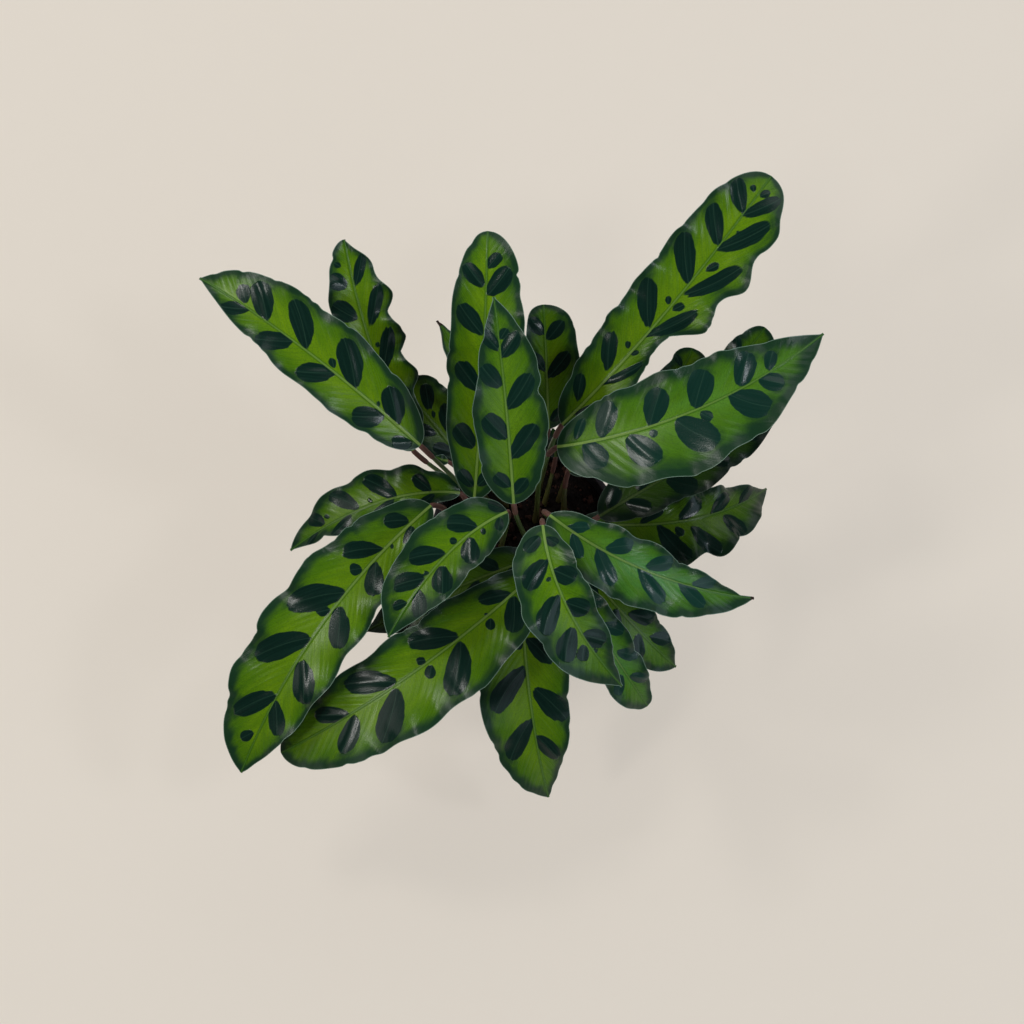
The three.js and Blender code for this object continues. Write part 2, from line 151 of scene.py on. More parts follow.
# %% Leaf table
LEAVES = {
    "01": dict(foot=(8, 34), base=(22, 59, 205), mid=(87, 123, 246), tip=(152, 206, 264), half=(27, 27),
               roll=(4, 6), waves=(3, 6, 0.9, 0.86), widest=(0.5, 0.5), point=(4, 5), taper=(0.5, 0.5),
               nip=(1, 0.38, 0.62, 0.11), scallop=(0.03, 0.15), curl=6),
    "02": dict(foot=(6, 14), base=(18, 38, 236), mid=(104, 56, 264), tip=(182, 105, 256), half=(29, 37),
               waves=(3, 4.3, 0.3, 0.07), widest=(0.38, 0.42), point=(2.6, 1.8), scallop=(0.03, 0.06)),
    "03": dict(foot=(-20, 11), base=(-68, 44, 212), mid=(-139, 99, 240), tip=(-207, 147, 236),
               half=(21, 28), waves=(2.5, 4, 0.8, 0.5), widest=(0.3, 0.45), point=(2.4, 3.6),
               scallop=(0.04, 0.03), curl=2),
    "04": dict(foot=(-19, 18), base=(-74, 47, 182), mid=(-101, 112, 206), tip=(-117, 175, 226),
               half=(20, 21), roll=(0, 8), waves=(4, 5, 0.3, 0.5), widest=(0.45, 0.45), point=(2.2, 4),
               taper=(0.5, 1), scallop=(0.05, 0.16), turn=0.3),
    "05": dict(foot=(-14, 25), base=(-43, 48, 150), mid=(-65, 72, 168), tip=(-88, 100, 172),
               half=(16, 23), waves=(1.5, 2.5, 0.4, 0), widest=(0.42, 0.42), point=(3, 3),
               scallop=(0.05, 0.05)),
    "06": dict(foot=(-23, 0), base=(-34, 12, 200), mid=(-28, 86, 246), tip=(-25, 169, 268),
               half=(22, 24.5), waves=(2.5, 4, 0, 0.4), widest=(0.45, 0.45), point=(3, 3.5),
               taper=(0.5, 0.5), scallop=(0.03, 0.04), curl=6),
    "07": dict(foot=(1, -4), base=(-9, 4, 226), mid=(-14, 60, 268), tip=(-21, 119, 292),
               half=(20.5, 24.5), waves=(2.5, 3, 0.6, 0.9), widest=(0.35, 0.4), point=(1.9, 2.6),
               scallop=(0.06, 0.03), curl=3),
    "08": dict(foot=(-1, 33), base=(14, 64, 170), mid=(12, 98, 204), tip=(10, 135, 221), half=(12, 21),
               waves=(2, 2.6, 0.2, 0.7), widest=(0.5, 0.55), point=(6, 3), taper=(0.5, 0.5),
               scallop=(0.04, 0.04), curl=5),
    "09": dict(foot=(-10, 32), base=(-30, 59, 160), mid=(-40, 92, 196), tip=(-58, 126, 210),
               half=(9, 14), roll=(0, 30), waves=(1.5, 2.4, 0, 0.5), widest=(0.42, 0.42),
               point=(2.4, 2.4), scallop=(0.05, 0.05)),
    "10": dict(foot=(-33, -4), base=(-44, 22, 166), mid=(-99, 15, 166), tip=(-158, -10, 128),
               half=(11.5, 20.5), waves=(3.5, 4.4, 0.9, 0.9), widest=(0.5, 0.5), point=(2.4, 2.6),
               scallop=(0.14, 0.07)),
    "11": dict(foot=(-29, -11), base=(-62, 10, 186), mid=(-133, -68, 178), tip=(-189, -157, 118),
               half=(26, 34), waves=(3.5, 5.5, 0.59, 0.02), widest=(0.55, 0.56), point=(2.4, 3.2),
               taper=(0.85, 0.8), scallop=(0.05, 0.06)),
    "12": dict(foot=(-18, -8), base=(-13, 1, 214), mid=(-52, -28, 216), tip=(-88, -76, 196),
               half=(19.5, 24), waves=(2.5, 2.8, 0.15, 0.65), widest=(0.5, 0.5), point=(2.2, 3.4),
               scallop=(0.04, 0.04), curl=2, bend=0.06),
    "13": dict(foot=(5, -23), base=(6, -30, 166), mid=(-74, -96, 166), tip=(-163, -144, 116),
               half=(35, 26), waves=(3.5, 5, 0.25, 0.6), widest=(0.45, 0.45), point=(3, 2.8),
               taper=(0.6, 0.55), scallop=(0.04, 0.04)),
    "14": dict(foot=(0, -31), base=(-3, -44, 140), mid=(2, -110, 122), tip=(15, -171, 60),
               half=(27, 32.5), waves=(3, 3, 0, 0.5), widest=(0.42, 0.42), point=(2, 2.8),
               taper=(0.85, 0.8), scallop=(0.04, 0.03)),
    "15": dict(foot=(11, -1), base=(9, -11, 234), mid=(24, -63, 238), tip=(59, -107, 196), half=(17, 27),
               waves=(2.5, 3.6, 0.4, 0.4), widest=(0.4, 0.45), point=(3, 2.6), scallop=(0.06, 0.04)),
    "16": dict(foot=(21, 6), base=(13.5, -2.5, 222), mid=(74, -37, 216), tip=(145, -49, 178),
               half=(18, 24.5), waves=(3, 4.5, 0.75, 0.98), widest=(0.45, 0.42), point=(1.3, 2.6),
               scallop=(0.08, 0.04)),
    "17": dict(foot=(20, -8), base=(35, -21, 150), mid=(68, -60, 142), tip=(100, -86, 108),
               half=(16, 20), waves=(3, 3.2, 0.5, 0.1), widest=(0.45, 0.45), point=(3, 3.2),
               scallop=(0.04, 0.05)),
    "18": dict(foot=(13, -18), base=(25, -35, 166), mid=(53, -79, 160), tip=(80, -113, 118),
               half=(15.5, 17), waves=(3, 4, 0.2, 0.8), widest=(0.42, 0.46), point=(2.5, 3.5),
               taper=(0.5, 0.5), scallop=(0.05, 0.06)),
    "19": dict(foot=(27, 3), base=(35, 5, 150), mid=(104, 3, 172), tip=(161, 32, 127), half=(18, 28),
               waves=(4, 5.5, 0.3, 0.62), widest=(0.5, 0.5), point=(2.8, 1.9), scallop=(0.05, 0.1)),
    "20": dict(foot=(27, -9), base=(46, 3, 186), mid=(106, 36, 204), tip=(162, 69, 202), half=(22, 19.5),
               waves=(3, 3.4, 0, 0.3), widest=(0.4, 0.48), point=(2.6, 2.2), scallop=(0.04, 0.06),
               turn=0.9, bend=0.3),
    "21": dict(foot=(25, 18), base=(28, 41, 142), mid=(104, 79, 182), tip=(153, 123, 204),
               half=(11.5, 21), waves=(3, 4.4, 0.3, 0.2), widest=(0.55, 0.55), point=(5, 4),
               taper=(0.5, 0.5), scallop=(0.08, 0.05)),
    "22": dict(foot=(22, 28), base=(32, 52, 134), mid=(84, 84, 164), tip=(108, 116, 179),
               half=(10.5, 18), waves=(2.5, 3, 0.1, 0.6), widest=(0.6, 0.6), point=(5, 4),
               taper=(0.5, 0.5), scallop=(0.06, 0.05)),
    "23": dict(foot=(5, -12), base=(6, -18, 150), mid=(-52, -42, 158), tip=(-107, -65, 132),
               half=(18, 18), waves=(2.5, 3.2, 0.4, 0.8), widest=(0.42, 0.42), point=(2.6, 2.6),
               scallop=(0.05, 0.05)),
    "24": dict(foot=(-6, -14), base=(-9, -14, 132), mid=(-22, -27, 147), tip=(-34, -44, 146),
               half=(7, 7), waves=(1, 1.6, 0, 0.5), widest=(0.42, 0.42), point=(2.4, 2.4),
               scallop=(0.05, 0.05)),
    "25": dict(foot=(-23, 24), base=(-52, 43, 168), mid=(-56, 43, 172), tip=(-60, 45, 172),
               half=(3.5, 3.5), waves=(0, 1, 0, 0), widest=(0.42, 0.42), point=(2.4, 2.4),
               scallop=(0, 0)),
    "26": dict(foot=(12, 25), base=(19, 50, 146), mid=(18, 58, 153), tip=(17, 67, 157), half=(6, 6),
               waves=(1, 1.6, 0.2, 0.7), widest=(0.42, 0.42), point=(2.6, 2.6), scallop=(0.05, 0.05)),
}
print("leaves:", len(LEAVES))

# %% [markdown]
# ## The leaves' marks
# Dark ovals stand in a row on each side of the rib, along the side veins, with small spots between some of
# them. They could be painted on an image, but an image blurs close up. Here each one is a small ellipse in
# the leaf's own measures: where its middle lies along the rib, from 0 at the base to 1 at the tip, how far
# it is from the rib, how long it is and how wide, all three in mm. `slant` is the side veins' angle to the
# rib in degrees, at the base and at the tip, on the left and on the right. An oval's long side follows it.
# `tone` is how much painted bluish reflection and how much painted shade the leaf's green takes, from 0 to 1:
# leaves low down, under others, take painted shade.
# `band` is how wide the dark band along the margin is on each side, in mm, where it isn't the usual width,
# and `dry` is how many mm of a leaf's tip have dried.

# %% Marks table
MARKS = {
    "01": dict(slant=((30, 50), (18, 32)), band=(3.5, 3),
               left=((0.135, 9, 18, 8), (0.287, 11, 26, 10), (0.48, 12.5, 32, 12), (0.658, 12.2, 31, 13),
                     (0.787, 10, 26, 11), (0.897, 9, 22, 10), (0.342, 4.4, 5, 3), (0.527, 3.8, 4.5, 4),
                     (0.94, 4.4, 4.5, 4)),
               right=((0.1, 5, 20, 6), (0.256, 5.3, 30, 6), (0.476, 8.5, 35, 9), (0.648, 11.6, 38, 10),
                      (0.804, 9.8, 35, 11), (0.907, 7, 24, 9), (0.338, 2, 5, 3.5), (0.53, 4, 8, 4.5),
                      (0.684, 5, 9, 5), (0.81, 4, 3, 2.5), (0.946, 3.4, 7, 5.5))),
    "02": dict(slant=((64, 34), (58, 42)), tone=(0.5, 0), band=(5.5, 7),
               left=((0.087, 9, 13, 6), (0.184, 11, 23, 13), (0.364, 10.7, 24, 16), (0.534, 11.3, 25, 17),
                     (0.704, 9.5, 23, 14), (0.8, 5.8, 13, 8)),
               right=((0.128, 9, 20, 14), (0.282, 12.7, 26, 17), (0.462, 13.5, 30, 19), (0.661, 10, 27, 17),
                      (0.761, 5.6, 16, 12), (0.33, 5, 6, 5), (0.515, 6, 8, 7.5))),
    "03": dict(slant=((46, 25), (40, 36)), band=(3, 3.5),
               left=((0.056, 7, 12, 9), (0.194, 8.2, 20, 13), (0.426, 7.6, 25, 12), (0.612, 7.3, 25, 12.5),
                     (0.806, 4.5, 19, 9)),
               right=((0.152, 7.6, 24, 13), (0.351, 11, 31, 15), (0.569, 11.8, 32, 14), (0.738, 9.6, 26, 14),
                      (0.814, 6.4, 13, 9), (0.4, 4, 6, 5), (0.196, 2, 3, 2))),
    "04": dict(slant=((45, 45), (33, 20)), band=(2.5, 2),
               left=((0.22, 8, 22, 10), (0.42, 8, 22, 11), (0.672, 10, 18, 13), (0.812, 9.6, 13, 11),
                     (0.89, 6.8, 5, 4)),
               right=((0.2, 7, 22, 9), (0.458, 9.1, 28, 10), (0.67, 10.2, 28, 9), (0.85, 5.8, 21, 7),
                      (0.49, 4, 5, 3))),
    "05": dict(slant=((30, 30), (30, 30)), tone=(0, 0.4),
               left=((0.2, 6, 14, 8), (0.44, 7, 15, 8), (0.7, 5, 13, 7)),
               right=((0.13, 9, 22, 12), (0.4, 9, 20, 9), (0.66, 8, 18, 9), (0.5, 4, 4, 3))),
    "06": dict(slant=((39, 39), (38, 36)), band=(3, 3.5),
               left=((0.083, 6, 14, 8), (0.244, 8.8, 20, 12), (0.469, 8.8, 23, 12), (0.677, 9.2, 23, 12),
                     (0.836, 7.7, 18, 10)),
               right=((0.09, 6, 13, 8), (0.27, 8.5, 22, 11), (0.46, 9, 23, 11), (0.64, 9, 23, 12),
                      (0.815, 7.8, 22, 12), (0.892, 4.2, 12, 8))),
    "07": dict(slant=((42, 30), (39, 36)), tone=(0.15, 0), band=(4, 4),
               left=((0.126, 6, 13, 8), (0.384, 7.7, 20, 13), (0.624, 7.3, 18, 11), (0.795, 5.3, 16, 8)),
               right=((0.09, 5, 13, 8), (0.302, 9, 27.5, 12), (0.541, 9.3, 27, 12), (0.764, 6, 19, 10),
                      (0.82, 3, 8, 6))),
    "08": dict(slant=((30, 30), (38, 38)), tone=(0, 0),
               left=((0.2, 4.5, 11, 6), (0.54, 5, 15, 7.5), (0.82, 5, 15, 8.5)),
               right=((0.12, 6, 13, 7), (0.51, 8, 23, 10), (0.78, 6.5, 17, 9.5))),
    "09": dict(slant=((35, 35), (35, 35)), tone=(0.2, 0), dry=5, band=(1.5, 1.5),
               left=((0.2, 3, 8, 3.5), (0.45, 3.5, 9, 4), (0.7, 3, 8, 3.5)),
               right=((0.3, 4, 9, 4), (0.6, 4, 9, 4))),
    "10": dict(slant=((30, 20), (38, 54)), tone=(0, 0.1), band=(3, 3),
               left=((0.21, 5, 13, 6), (0.47, 5.3, 20, 7), (0.71, 5, 18, 7), (0.88, 1.8, 12, 3)),
               right=((0.225, 6.3, 17, 9), (0.45, 9, 26, 11), (0.653, 9, 21, 10), (0.823, 6.7, 12.4, 9),
                      (0.53, 3, 4, 3), (0.767, 5, 4, 3))),
    "11": dict(slant=((36, 31), (40, 35)), band=(2.5, 4.5),
               left=((0.115, 6, 14, 9), (0.284, 8.5, 23, 13), (0.466, 10.5, 28, 15), (0.662, 11, 29, 16),
                     (0.802, 6.9, 22, 12), (0.175, 2, 3, 2)),
               right=((0.111, 7.6, 17, 10), (0.244, 10.4, 27, 11), (0.436, 13.6, 39, 16.5),
                      (0.607, 13.8, 39, 16.5), (0.794, 11, 31, 13), (0.3, 5, 8, 8), (0.457, 4.5, 9, 7),
                      (0.893, 6, 9, 7.5))),
    "12": dict(slant=((41, 42), (42, 42)), band=(4.5, 5),
               left=((0.1, 5, 10, 6), (0.367, 8.4, 17.4, 13), (0.61, 8.4, 17, 13), (0.79, 6.2, 16, 10),
                     (0.22, 3.5, 5, 4)),
               right=((0.06, 5.6, 13, 7), (0.3, 8, 20, 11), (0.565, 9, 21, 11), (0.73, 7.5, 19, 11),
                      (0.85, 4.4, 8, 6), (0.405, 3.3, 5, 5), (0.64, 2, 3, 3))),
    "13": dict(slant=((46, 40), (27, 29)), band=(4.5, 4),
               left=((0.146, 11, 24, 13.5), (0.38, 15.6, 35, 17), (0.627, 15.6, 36, 18),
                     (0.768, 11.4, 26, 13.5), (0.22, 5.6, 7, 6.5), (0.454, 6, 8.5, 7.5)),
               right=((0.153, 6, 22.5, 9), (0.388, 10.5, 35, 14), (0.63, 10.8, 35, 15), (0.792, 5.6, 26, 11),
                      (0.21, 1.2, 3, 2), (0.458, 3.3, 6, 5))),
    "14": dict(slant=((40, 27), (44, 30)), band=(3, 4.5),
               left=((0.26, 10, 26, 12), (0.53, 14.2, 33, 17), (0.739, 6.4, 23, 11)),
               right=((0.17, 12, 24, 11), (0.426, 13.5, 38, 15), (0.676, 11, 33, 14), (0.23, 4, 7, 6))),
    "15": dict(slant=((43, 38), (47, 46)), band=(4.5, 5),
               left=((0.11, 4, 9, 7), (0.323, 6, 17, 13), (0.52, 5.5, 17, 13), (0.715, 4.6, 16, 12),
                     (0.78, 1.2, 2.5, 2)),
               right=((0.11, 8, 14, 9), (0.27, 10.5, 22.5, 12), (0.486, 12, 26, 13), (0.663, 11, 21, 13),
                      (0.745, 6, 10, 8), (0.32, 4, 3.5, 3))),
    "16": dict(slant=((36, 20), (42, 28)), tone=(0.9, 0), dry=3, band=(3, 4.5),
               left=((0.14, 4, 15, 7), (0.35, 7.2, 18, 10), (0.55, 7, 19, 10), (0.77, 4, 17, 7)),
               right=((0.18, 6.5, 16, 8), (0.327, 8.9, 25, 11), (0.538, 7.6, 28, 11), (0.72, 5, 22, 10))),
    "17": dict(slant=((30, 25), (40, 40)), tone=(0.3, 0.2),
               left=((0.3, 6.5, 16, 8), (0.53, 7.8, 18, 10), (0.75, 6.6, 16, 9)),
               right=((0.2, 7, 15, 9), (0.43, 7.5, 18, 9), (0.66, 7.5, 17, 9))),
    "18": dict(slant=((35, 35), (40, 40)), tone=(0.7, 0),
               left=((0.2, 7, 14, 9), (0.41, 9, 16, 9), (0.61, 8, 16, 9), (0.79, 6, 14, 8)),
               right=((0.25, 7, 15, 9), (0.5, 8, 16, 9), (0.75, 8, 14, 8))),
    "19": dict(slant=((30, 20), (50, 60)), tone=(0.1, 0.55), band=(3.5, 5),
               left=((0.15, 5, 13, 6), (0.33, 6, 20, 7), (0.535, 7, 25, 9.5), (0.7, 5, 24, 8),
                     (0.86, 3.2, 20, 6)),
               right=((0.2, 8, 20, 9), (0.41, 14, 30, 12), (0.558, 15.5, 26, 12), (0.72, 11.7, 19, 13),
                      (0.452, 6.5, 8, 6))),
    "20": dict(slant=((40, 40), (45, 45)), tone=(0.5, 0.95),
               left=((0.1, 6, 14, 9), (0.27, 8, 20, 11), (0.5, 8, 20, 11), (0.75, 6, 15, 8)),
               right=((0.18, 7, 17, 9), (0.4, 9, 20, 12), (0.6, 7, 17, 9), (0.8, 4, 12, 6))),
    "21": dict(slant=((42, 42), (42, 42)), tone=(0.2, 0.3),
               left=((0.2, 6, 14, 8), (0.4, 7, 17, 9), (0.6, 7, 17, 9), (0.84, 6.5, 15, 7)),
               right=((0.15, 6, 13, 8), (0.36, 8, 20, 10), (0.56, 8, 20, 10), (0.78, 7, 18, 10))),
    "22": dict(slant=((42, 42), (42, 42)), tone=(0, 0.4),
               left=((0.2, 5, 13, 7), (0.42, 6, 15, 8), (0.66, 5.5, 15, 7), (0.85, 5, 11, 5)),
               right=((0.3, 7, 16, 9), (0.52, 8, 18, 9), (0.76, 7, 16, 9))),
    "23": dict(slant=((42, 42), (42, 42)), tone=(0.2, 0.7),
               left=((0.16, 6, 14, 9), (0.38, 7, 16, 9), (0.6, 7, 16, 9), (0.8, 5, 12, 7)),
               right=((0.25, 6, 14, 9), (0.48, 7, 16, 9), (0.7, 6, 14, 8))),
    "24": dict(slant=((40, 40), (40, 40)), tone=(0, 0.7), left=((0.3, 2.8, 6, 3.5), (0.6, 2.8, 6, 3.5)),
               right=((0.45, 2.8, 6, 3.5),)),
    "25": dict(slant=((40, 40), (40, 40)), tone=(0, 0.2), left=(), right=()),
    "26": dict(slant=((40, 40), (40, 40)), tone=(0, 0.7), left=((0.35, 2.5, 6, 3),),
               right=((0.5, 2.5, 6, 3),)),
}
print("marks:", sum(len(m["left"]) + len(m["right"]) for m in MARKS.values()))

# %% [markdown]
# ## The midrib's curve
# A blade hangs from its midrib, so the rib comes first: the parabola through the leaf's three places. At
# each place along it stand three directions: forward along the rib, left across the blade, and up.

# %% Rib and its directions
def unit(vectors):
    """The same directions with a length of 1."""
    return vectors / np.linalg.norm(vectors, axis=-1, keepdims=True)


def rib(leaf, along):
    """Places and forward directions on the midrib, for an array of shares of its curve."""
    base, mid, tip = (np.array(leaf[key], float) for key in ("base", "mid", "tip"))
    handle = 2 * mid - (base + tip) / 2
    t = np.asarray(along, float)[..., None]
    place = (1 - t) ** 2 * base + 2 * t * (1 - t) * handle + t ** 2 * tip
    forward = unit((1 - t) * (handle - base) + t * (tip - handle))
    return place, forward


def directions(leaf, along):
    """Forward, left and up at places along the rib, with the blade's roll."""
    place, forward = rib(leaf, along)
    level = unit(np.cross((0, 0, 1), forward))
    start, end = leaf.get("roll", (0, 0))
    roll = np.radians(start + (end - start) * np.asarray(along, float))[..., None]
    left = level * np.cos(roll) + np.cross(forward, level) * np.sin(roll)
    return place, forward, left, np.cross(forward, left)


print("rib of leaf 01 starts at", rib(LEAVES["01"], 0)[0])

# %% [markdown]
# ## The blade's outline
# The real blade is a long ellipse at its base and tapers to its tip, and its margin ripples, because it
# grew longer than the middle. The outline gives the half width, and the ripple moves it in and out a little
# as it goes up and down.

# %% Outline and side veins
NECK, TIP = 1.5, 0.9  # mm: the least half width at the base and at the tip
FOLD, HOOK = 0.12, 0.2  # the blade's rise to each side, and the last share of the rib, which can curl
VEIN_SWEEP = 0.006  # how much further forward a side vein leans, per mm from the rib


def half_width(leaf, along, side):
    """Half width in mm on one side (0 left, 1 right), and the ripple's turn and strength there."""
    _, count, *phases = leaf["waves"]
    widest, blunt = leaf["widest"][side], leaf["point"][side]
    turn = 2 * np.pi * (count * along + phases[side])
    fade = np.sin(np.pi * np.clip(along, 0, 1)) ** 0.6
    rising = np.sqrt(np.clip(1 - ((widest - along) / widest) ** 2, 0, 1))
    falling = 1 - np.clip((along - widest) / (1 - widest), 0, 1) ** blunt
    shape = np.where(along < widest, rising, falling ** leaf.get("taper", (1, 1))[side])
    nip_side, place, depth, reach = leaf.get("nip", (side, 0, 0, 1))
    if nip_side == side:
        shape = shape * (1 - depth * np.exp(-((along - place) / reach) ** 2))
    width = leaf["half"][side] * shape * (1 + leaf["scallop"][side] * np.cos(turn) * fade)
    return np.maximum(NECK + (TIP - NECK) * along, width), turn, fade


def slant_at(marks, along, side):
    """The side veins' angle to the rib in radians, at shares of the rib."""
    start, end = marks["slant"][side]
    return np.radians(start + (end - start) * along)


def vein_shift(marks, along, across_mm, side):
    """How far forward of its foot on the rib a side vein has come, at a distance from the rib."""
    return across_mm / np.tan(slant_at(marks, along, side)) * (1 + VEIN_SWEEP * across_mm)


print("half width of leaf 01 at its middle:", half_width(LEAVES["01"], np.array(0.5), 0)[0])

# %% [markdown]
# ## Where each mark lies
# A shader can draw a sharp oval at any zoom if each vertex knows how far it is inside one. So every vertex
# gets the distance to the nearest mark's outline, positive inside, and the distance to that mark's own
# vein, which shows as a fine pale line. It also gets a number that differs from mark to mark, by which some
# ovals are creased and others are not. An oval is pointed at its end near the rib and round at the other,
# and bends a little towards the tip, like the veins.

# %% Distance to the marks
BEND = 0.004  # how much a vein bends, per mm
TOWARDS_TIP = 0.8  # mm from a row's measured places to the ovals' middles
EGG = 0.16  # how much wider an oval is at its outer end, and narrower at the rib
ROUNDNESS = 1.8, 2.3  # the outline's power in the half near the rib, and in the outer half
FAR = 20.0  # mm, for a vertex with no mark near it
UNEVEN = 7.3, 0.37  # steps along and across the leaf that spread the creases over the marks


def mark_fields(marks, along, length, across_mm, side):
    """For one side's vertices: mm inside the nearest mark, mm from its own vein, and how creased it is."""
    inside, axis = np.full(along.shape, -FAR), np.full(along.shape, FAR)
    crease = np.zeros(along.shape)
    for place, out, long, wide in marks[("left", "right")[side]]:
        angle = slant_at(marks, place, side)
        ahead, beyond = (along - place) * length + TOWARDS_TIP, across_mm - out
        down = (beyond * math.sin(angle) + ahead * math.cos(angle)) / (long / 2)
        off = ahead * math.sin(angle) - beyond * math.cos(angle) - BEND * (down * long / 2) ** 2
        half = wide / 2 * (1 + EGG * np.clip(down, -1, 1))
        roundness = np.where(down > 0, ROUNDNESS[1], ROUNDNESS[0])
        depth = (1 - np.sqrt(np.abs(down) ** roundness + (off / half) ** 2)) * wide / 2
        nearer = depth > inside
        inside = np.where(nearer, depth, inside)
        axis = np.where(nearer, off, axis)
        crease = np.where(nearer, (UNEVEN[0] * place + UNEVEN[1] * out) % 1, crease)
    return inside, axis, crease


print("longest oval:", max(m[2] for leaf in MARKS.values() for m in leaf["left"] + leaf["right"]), "mm")

# %% [markdown]
# ## Blade mesh
# One formula gives the whole blade: the rib's curve, a shallow fold up to each side, the rippled margin, the
# pleats along the side veins, and the raised rib. It is worked out on a grid of about 1.1 mm, once for the
# upper face and once for the lower, and the two are joined round the margin. A displaced plane could do
# it too, but the formula keeps the margin clean and gives the fields for the shader on the way.

# %% The blade's net and margin
GRID = 1.1  # mm between vertices
CROWDING = 0.45, 1.2  # rows lie closer near both ends, and columns near the rib
FULL_SIZE = 15  # mm of half width: a smaller leaf has lower relief in proportion
NOTCH = 1.2  # the deepest of the margin's small notches
NOTCH_STEP = 16  # mm of leaf to each notch
NOTCH_SPOTS, NOTCH_REACH = (0.08, 0.97), (1.5, 5)  # where notches lie, as shares, and their reach in mm


def net(leaf):
    """A grid's places along the rib and across the blade, as shares, and the rib's length."""
    spine = rib(leaf, np.linspace(0, 1, 200))[0]
    length = np.linalg.norm(np.diff(spine, axis=0), axis=1).sum()
    steps = np.linspace(0, 1, max(10, round(length / GRID)) + 1)
    along = steps - CROWDING[0] * np.sin(2 * np.pi * steps) / (2 * np.pi)
    one_side = np.linspace(0, 1, max(5, round(max(leaf["half"]) / GRID)) + 1) ** CROWDING[1]
    return along, np.concatenate([-one_side[:0:-1], one_side]), length


def margin(leaf, t, side, length, small, random):
    """Half width at each vertex, with its small notches, and the ripple's turn and strength there."""
    width, turn, fade = (np.where(side == 0, *pair) for pair in zip(
        half_width(leaf, t, 0), half_width(leaf, t, 1)))
    for _ in range(round(2 * length / NOTCH_STEP)):
        spot, which, reach = random.uniform(*NOTCH_SPOTS), random.integers(2), random.uniform(*NOTCH_REACH)
        notch = NOTCH * small * random.uniform(0.2, 1) * np.exp(-((t - spot) * length / reach) ** 2)
        width = width - np.where(side == which, notch, 0)
    return np.maximum(width, TIP), turn, fade


print("rows, columns and length of leaf 11:", *(np.size(part) for part in net(LEAVES["11"])[:2]),
      round(net(LEAVES["11"])[2]), "mm")

# %% The blade's relief, thickness and fields
BAND = 3.5  # mm, the usual width of the dark band
PLEAT_PITCH, PLEAT_HEIGHT = 6.5, 0.16
RIPPLE_HEIGHT, RIPPLE_COUNTS = 0.3, (2.3, 3.7)  # fine ripples on the margin's waves, and how many to a wave
OWN_VEIN_HEIGHT, OWN_VEIN_HALF = 0.15, 1.8  # the low ridge along an oval's own vein
RIB_HEIGHT, RIB_HALF, RIB_DEPTH = 0.35, 1.1, 1.1  # the rib above the blade, its half width, and below
BLADE_THICKNESS = 0.55


def blade_grid(leaf, marks, seed):
    """Upper and lower points of a blade in mm, and its fields, each as rows by columns."""
    random = np.random.default_rng(seed)
    along, across, length = net(leaf)
    t, a = np.meshgrid(along, across, indexing="ij")
    place, _, left, up = directions(leaf, along)
    left, up = left[:, None], up[:, None]
    side, share = (a >= 0).astype(int), np.abs(a)
    small = min(1, leaf["half"][0] / FULL_SIZE)
    width, turn, fade = margin(leaf, t, side, length, small, random)
    offset = share * width
    vein = t * length - np.where(side == 0, *(vein_shift(marks, t, offset, which) for which in (0, 1)))
    found = [mark_fields(marks, t, length, offset, which) for which in (0, 1)]
    inside, axis, crease = (np.where(side == 0, *pair) for pair in zip(*found))
    pleat = np.sin(2 * np.pi * vein / PLEAT_PITCH + side * 2.1) + 0.5 * np.sin(
        2 * np.pi * vein / (PLEAT_PITCH * 2.7) + random.uniform(0, 6))
    height = FOLD * offset + leaf["waves"][0] * share ** 2 * np.sin(turn) * fade
    flat = 1 - 0.9 * np.clip(inside + 0.5, 0, 1)  # the pleats die out in the ovals
    height += PLEAT_HEIGHT * small * pleat * np.sin(np.pi * np.clip(share, 0, 1)) * fade * flat
    for count in RIPPLE_COUNTS:
        ripple = np.sin(2 * np.pi * (leaf["waves"][1] * count * t) + random.uniform(0, 6, 2)[side])
        height += RIPPLE_HEIGHT * small * share ** 4 * ripple * fade
    height += OWN_VEIN_HEIGHT * small * np.exp(-(axis / OWN_VEIN_HALF) ** 2) * np.clip(inside / 2, 0, 1)
    ridge = np.exp(-(offset / (RIB_HALF - 0.5 * t)) ** 2)
    height += RIB_HEIGHT * ridge * small
    upper = place[:, None] - left * (a * width)[..., None] + up * height[..., None]
    upper[..., 2] -= leaf.get("curl", 0) * np.clip((t - 1 + HOOK) / HOOK, 0, None) ** 2
    thickness = BLADE_THICKNESS * (1 - 0.4 * share ** 6) + (RIB_DEPTH * (1 - 0.6 * t) + RIB_HEIGHT) * ridge
    slope = np.gradient(width, axis=0) / np.gradient(t * length, axis=0)
    # Per leaf: how much painted bluish reflection and how much painted shade its upper face takes.
    bluish_sheen, shade_depth = marks.get("tone", (0, 0))
    fields = dict(along=t, across_mm=a * width, edge_mm=(width - offset) / np.sqrt(1 + slope ** 2),
                  vein_mm=vein, mark_mm=inside, mark_axis_mm=axis, crease=crease,
                  tint=np.full(t.shape, random.uniform(0, 1)),
                  bluish_sheen=np.full(t.shape, bluish_sheen), shade_depth=np.full(t.shape, shade_depth),
                  band_mm=np.array(marks.get("band", (BAND, BAND)), float)[side],
                  dry=np.clip(marks.get("dry", 0) - (1 - t) * length, 0, 1))
    return upper, upper - up * thickness[..., None], fields


print("grid of leaf 11:", blade_grid(LEAVES["11"], MARKS["11"], 11)[0].shape)
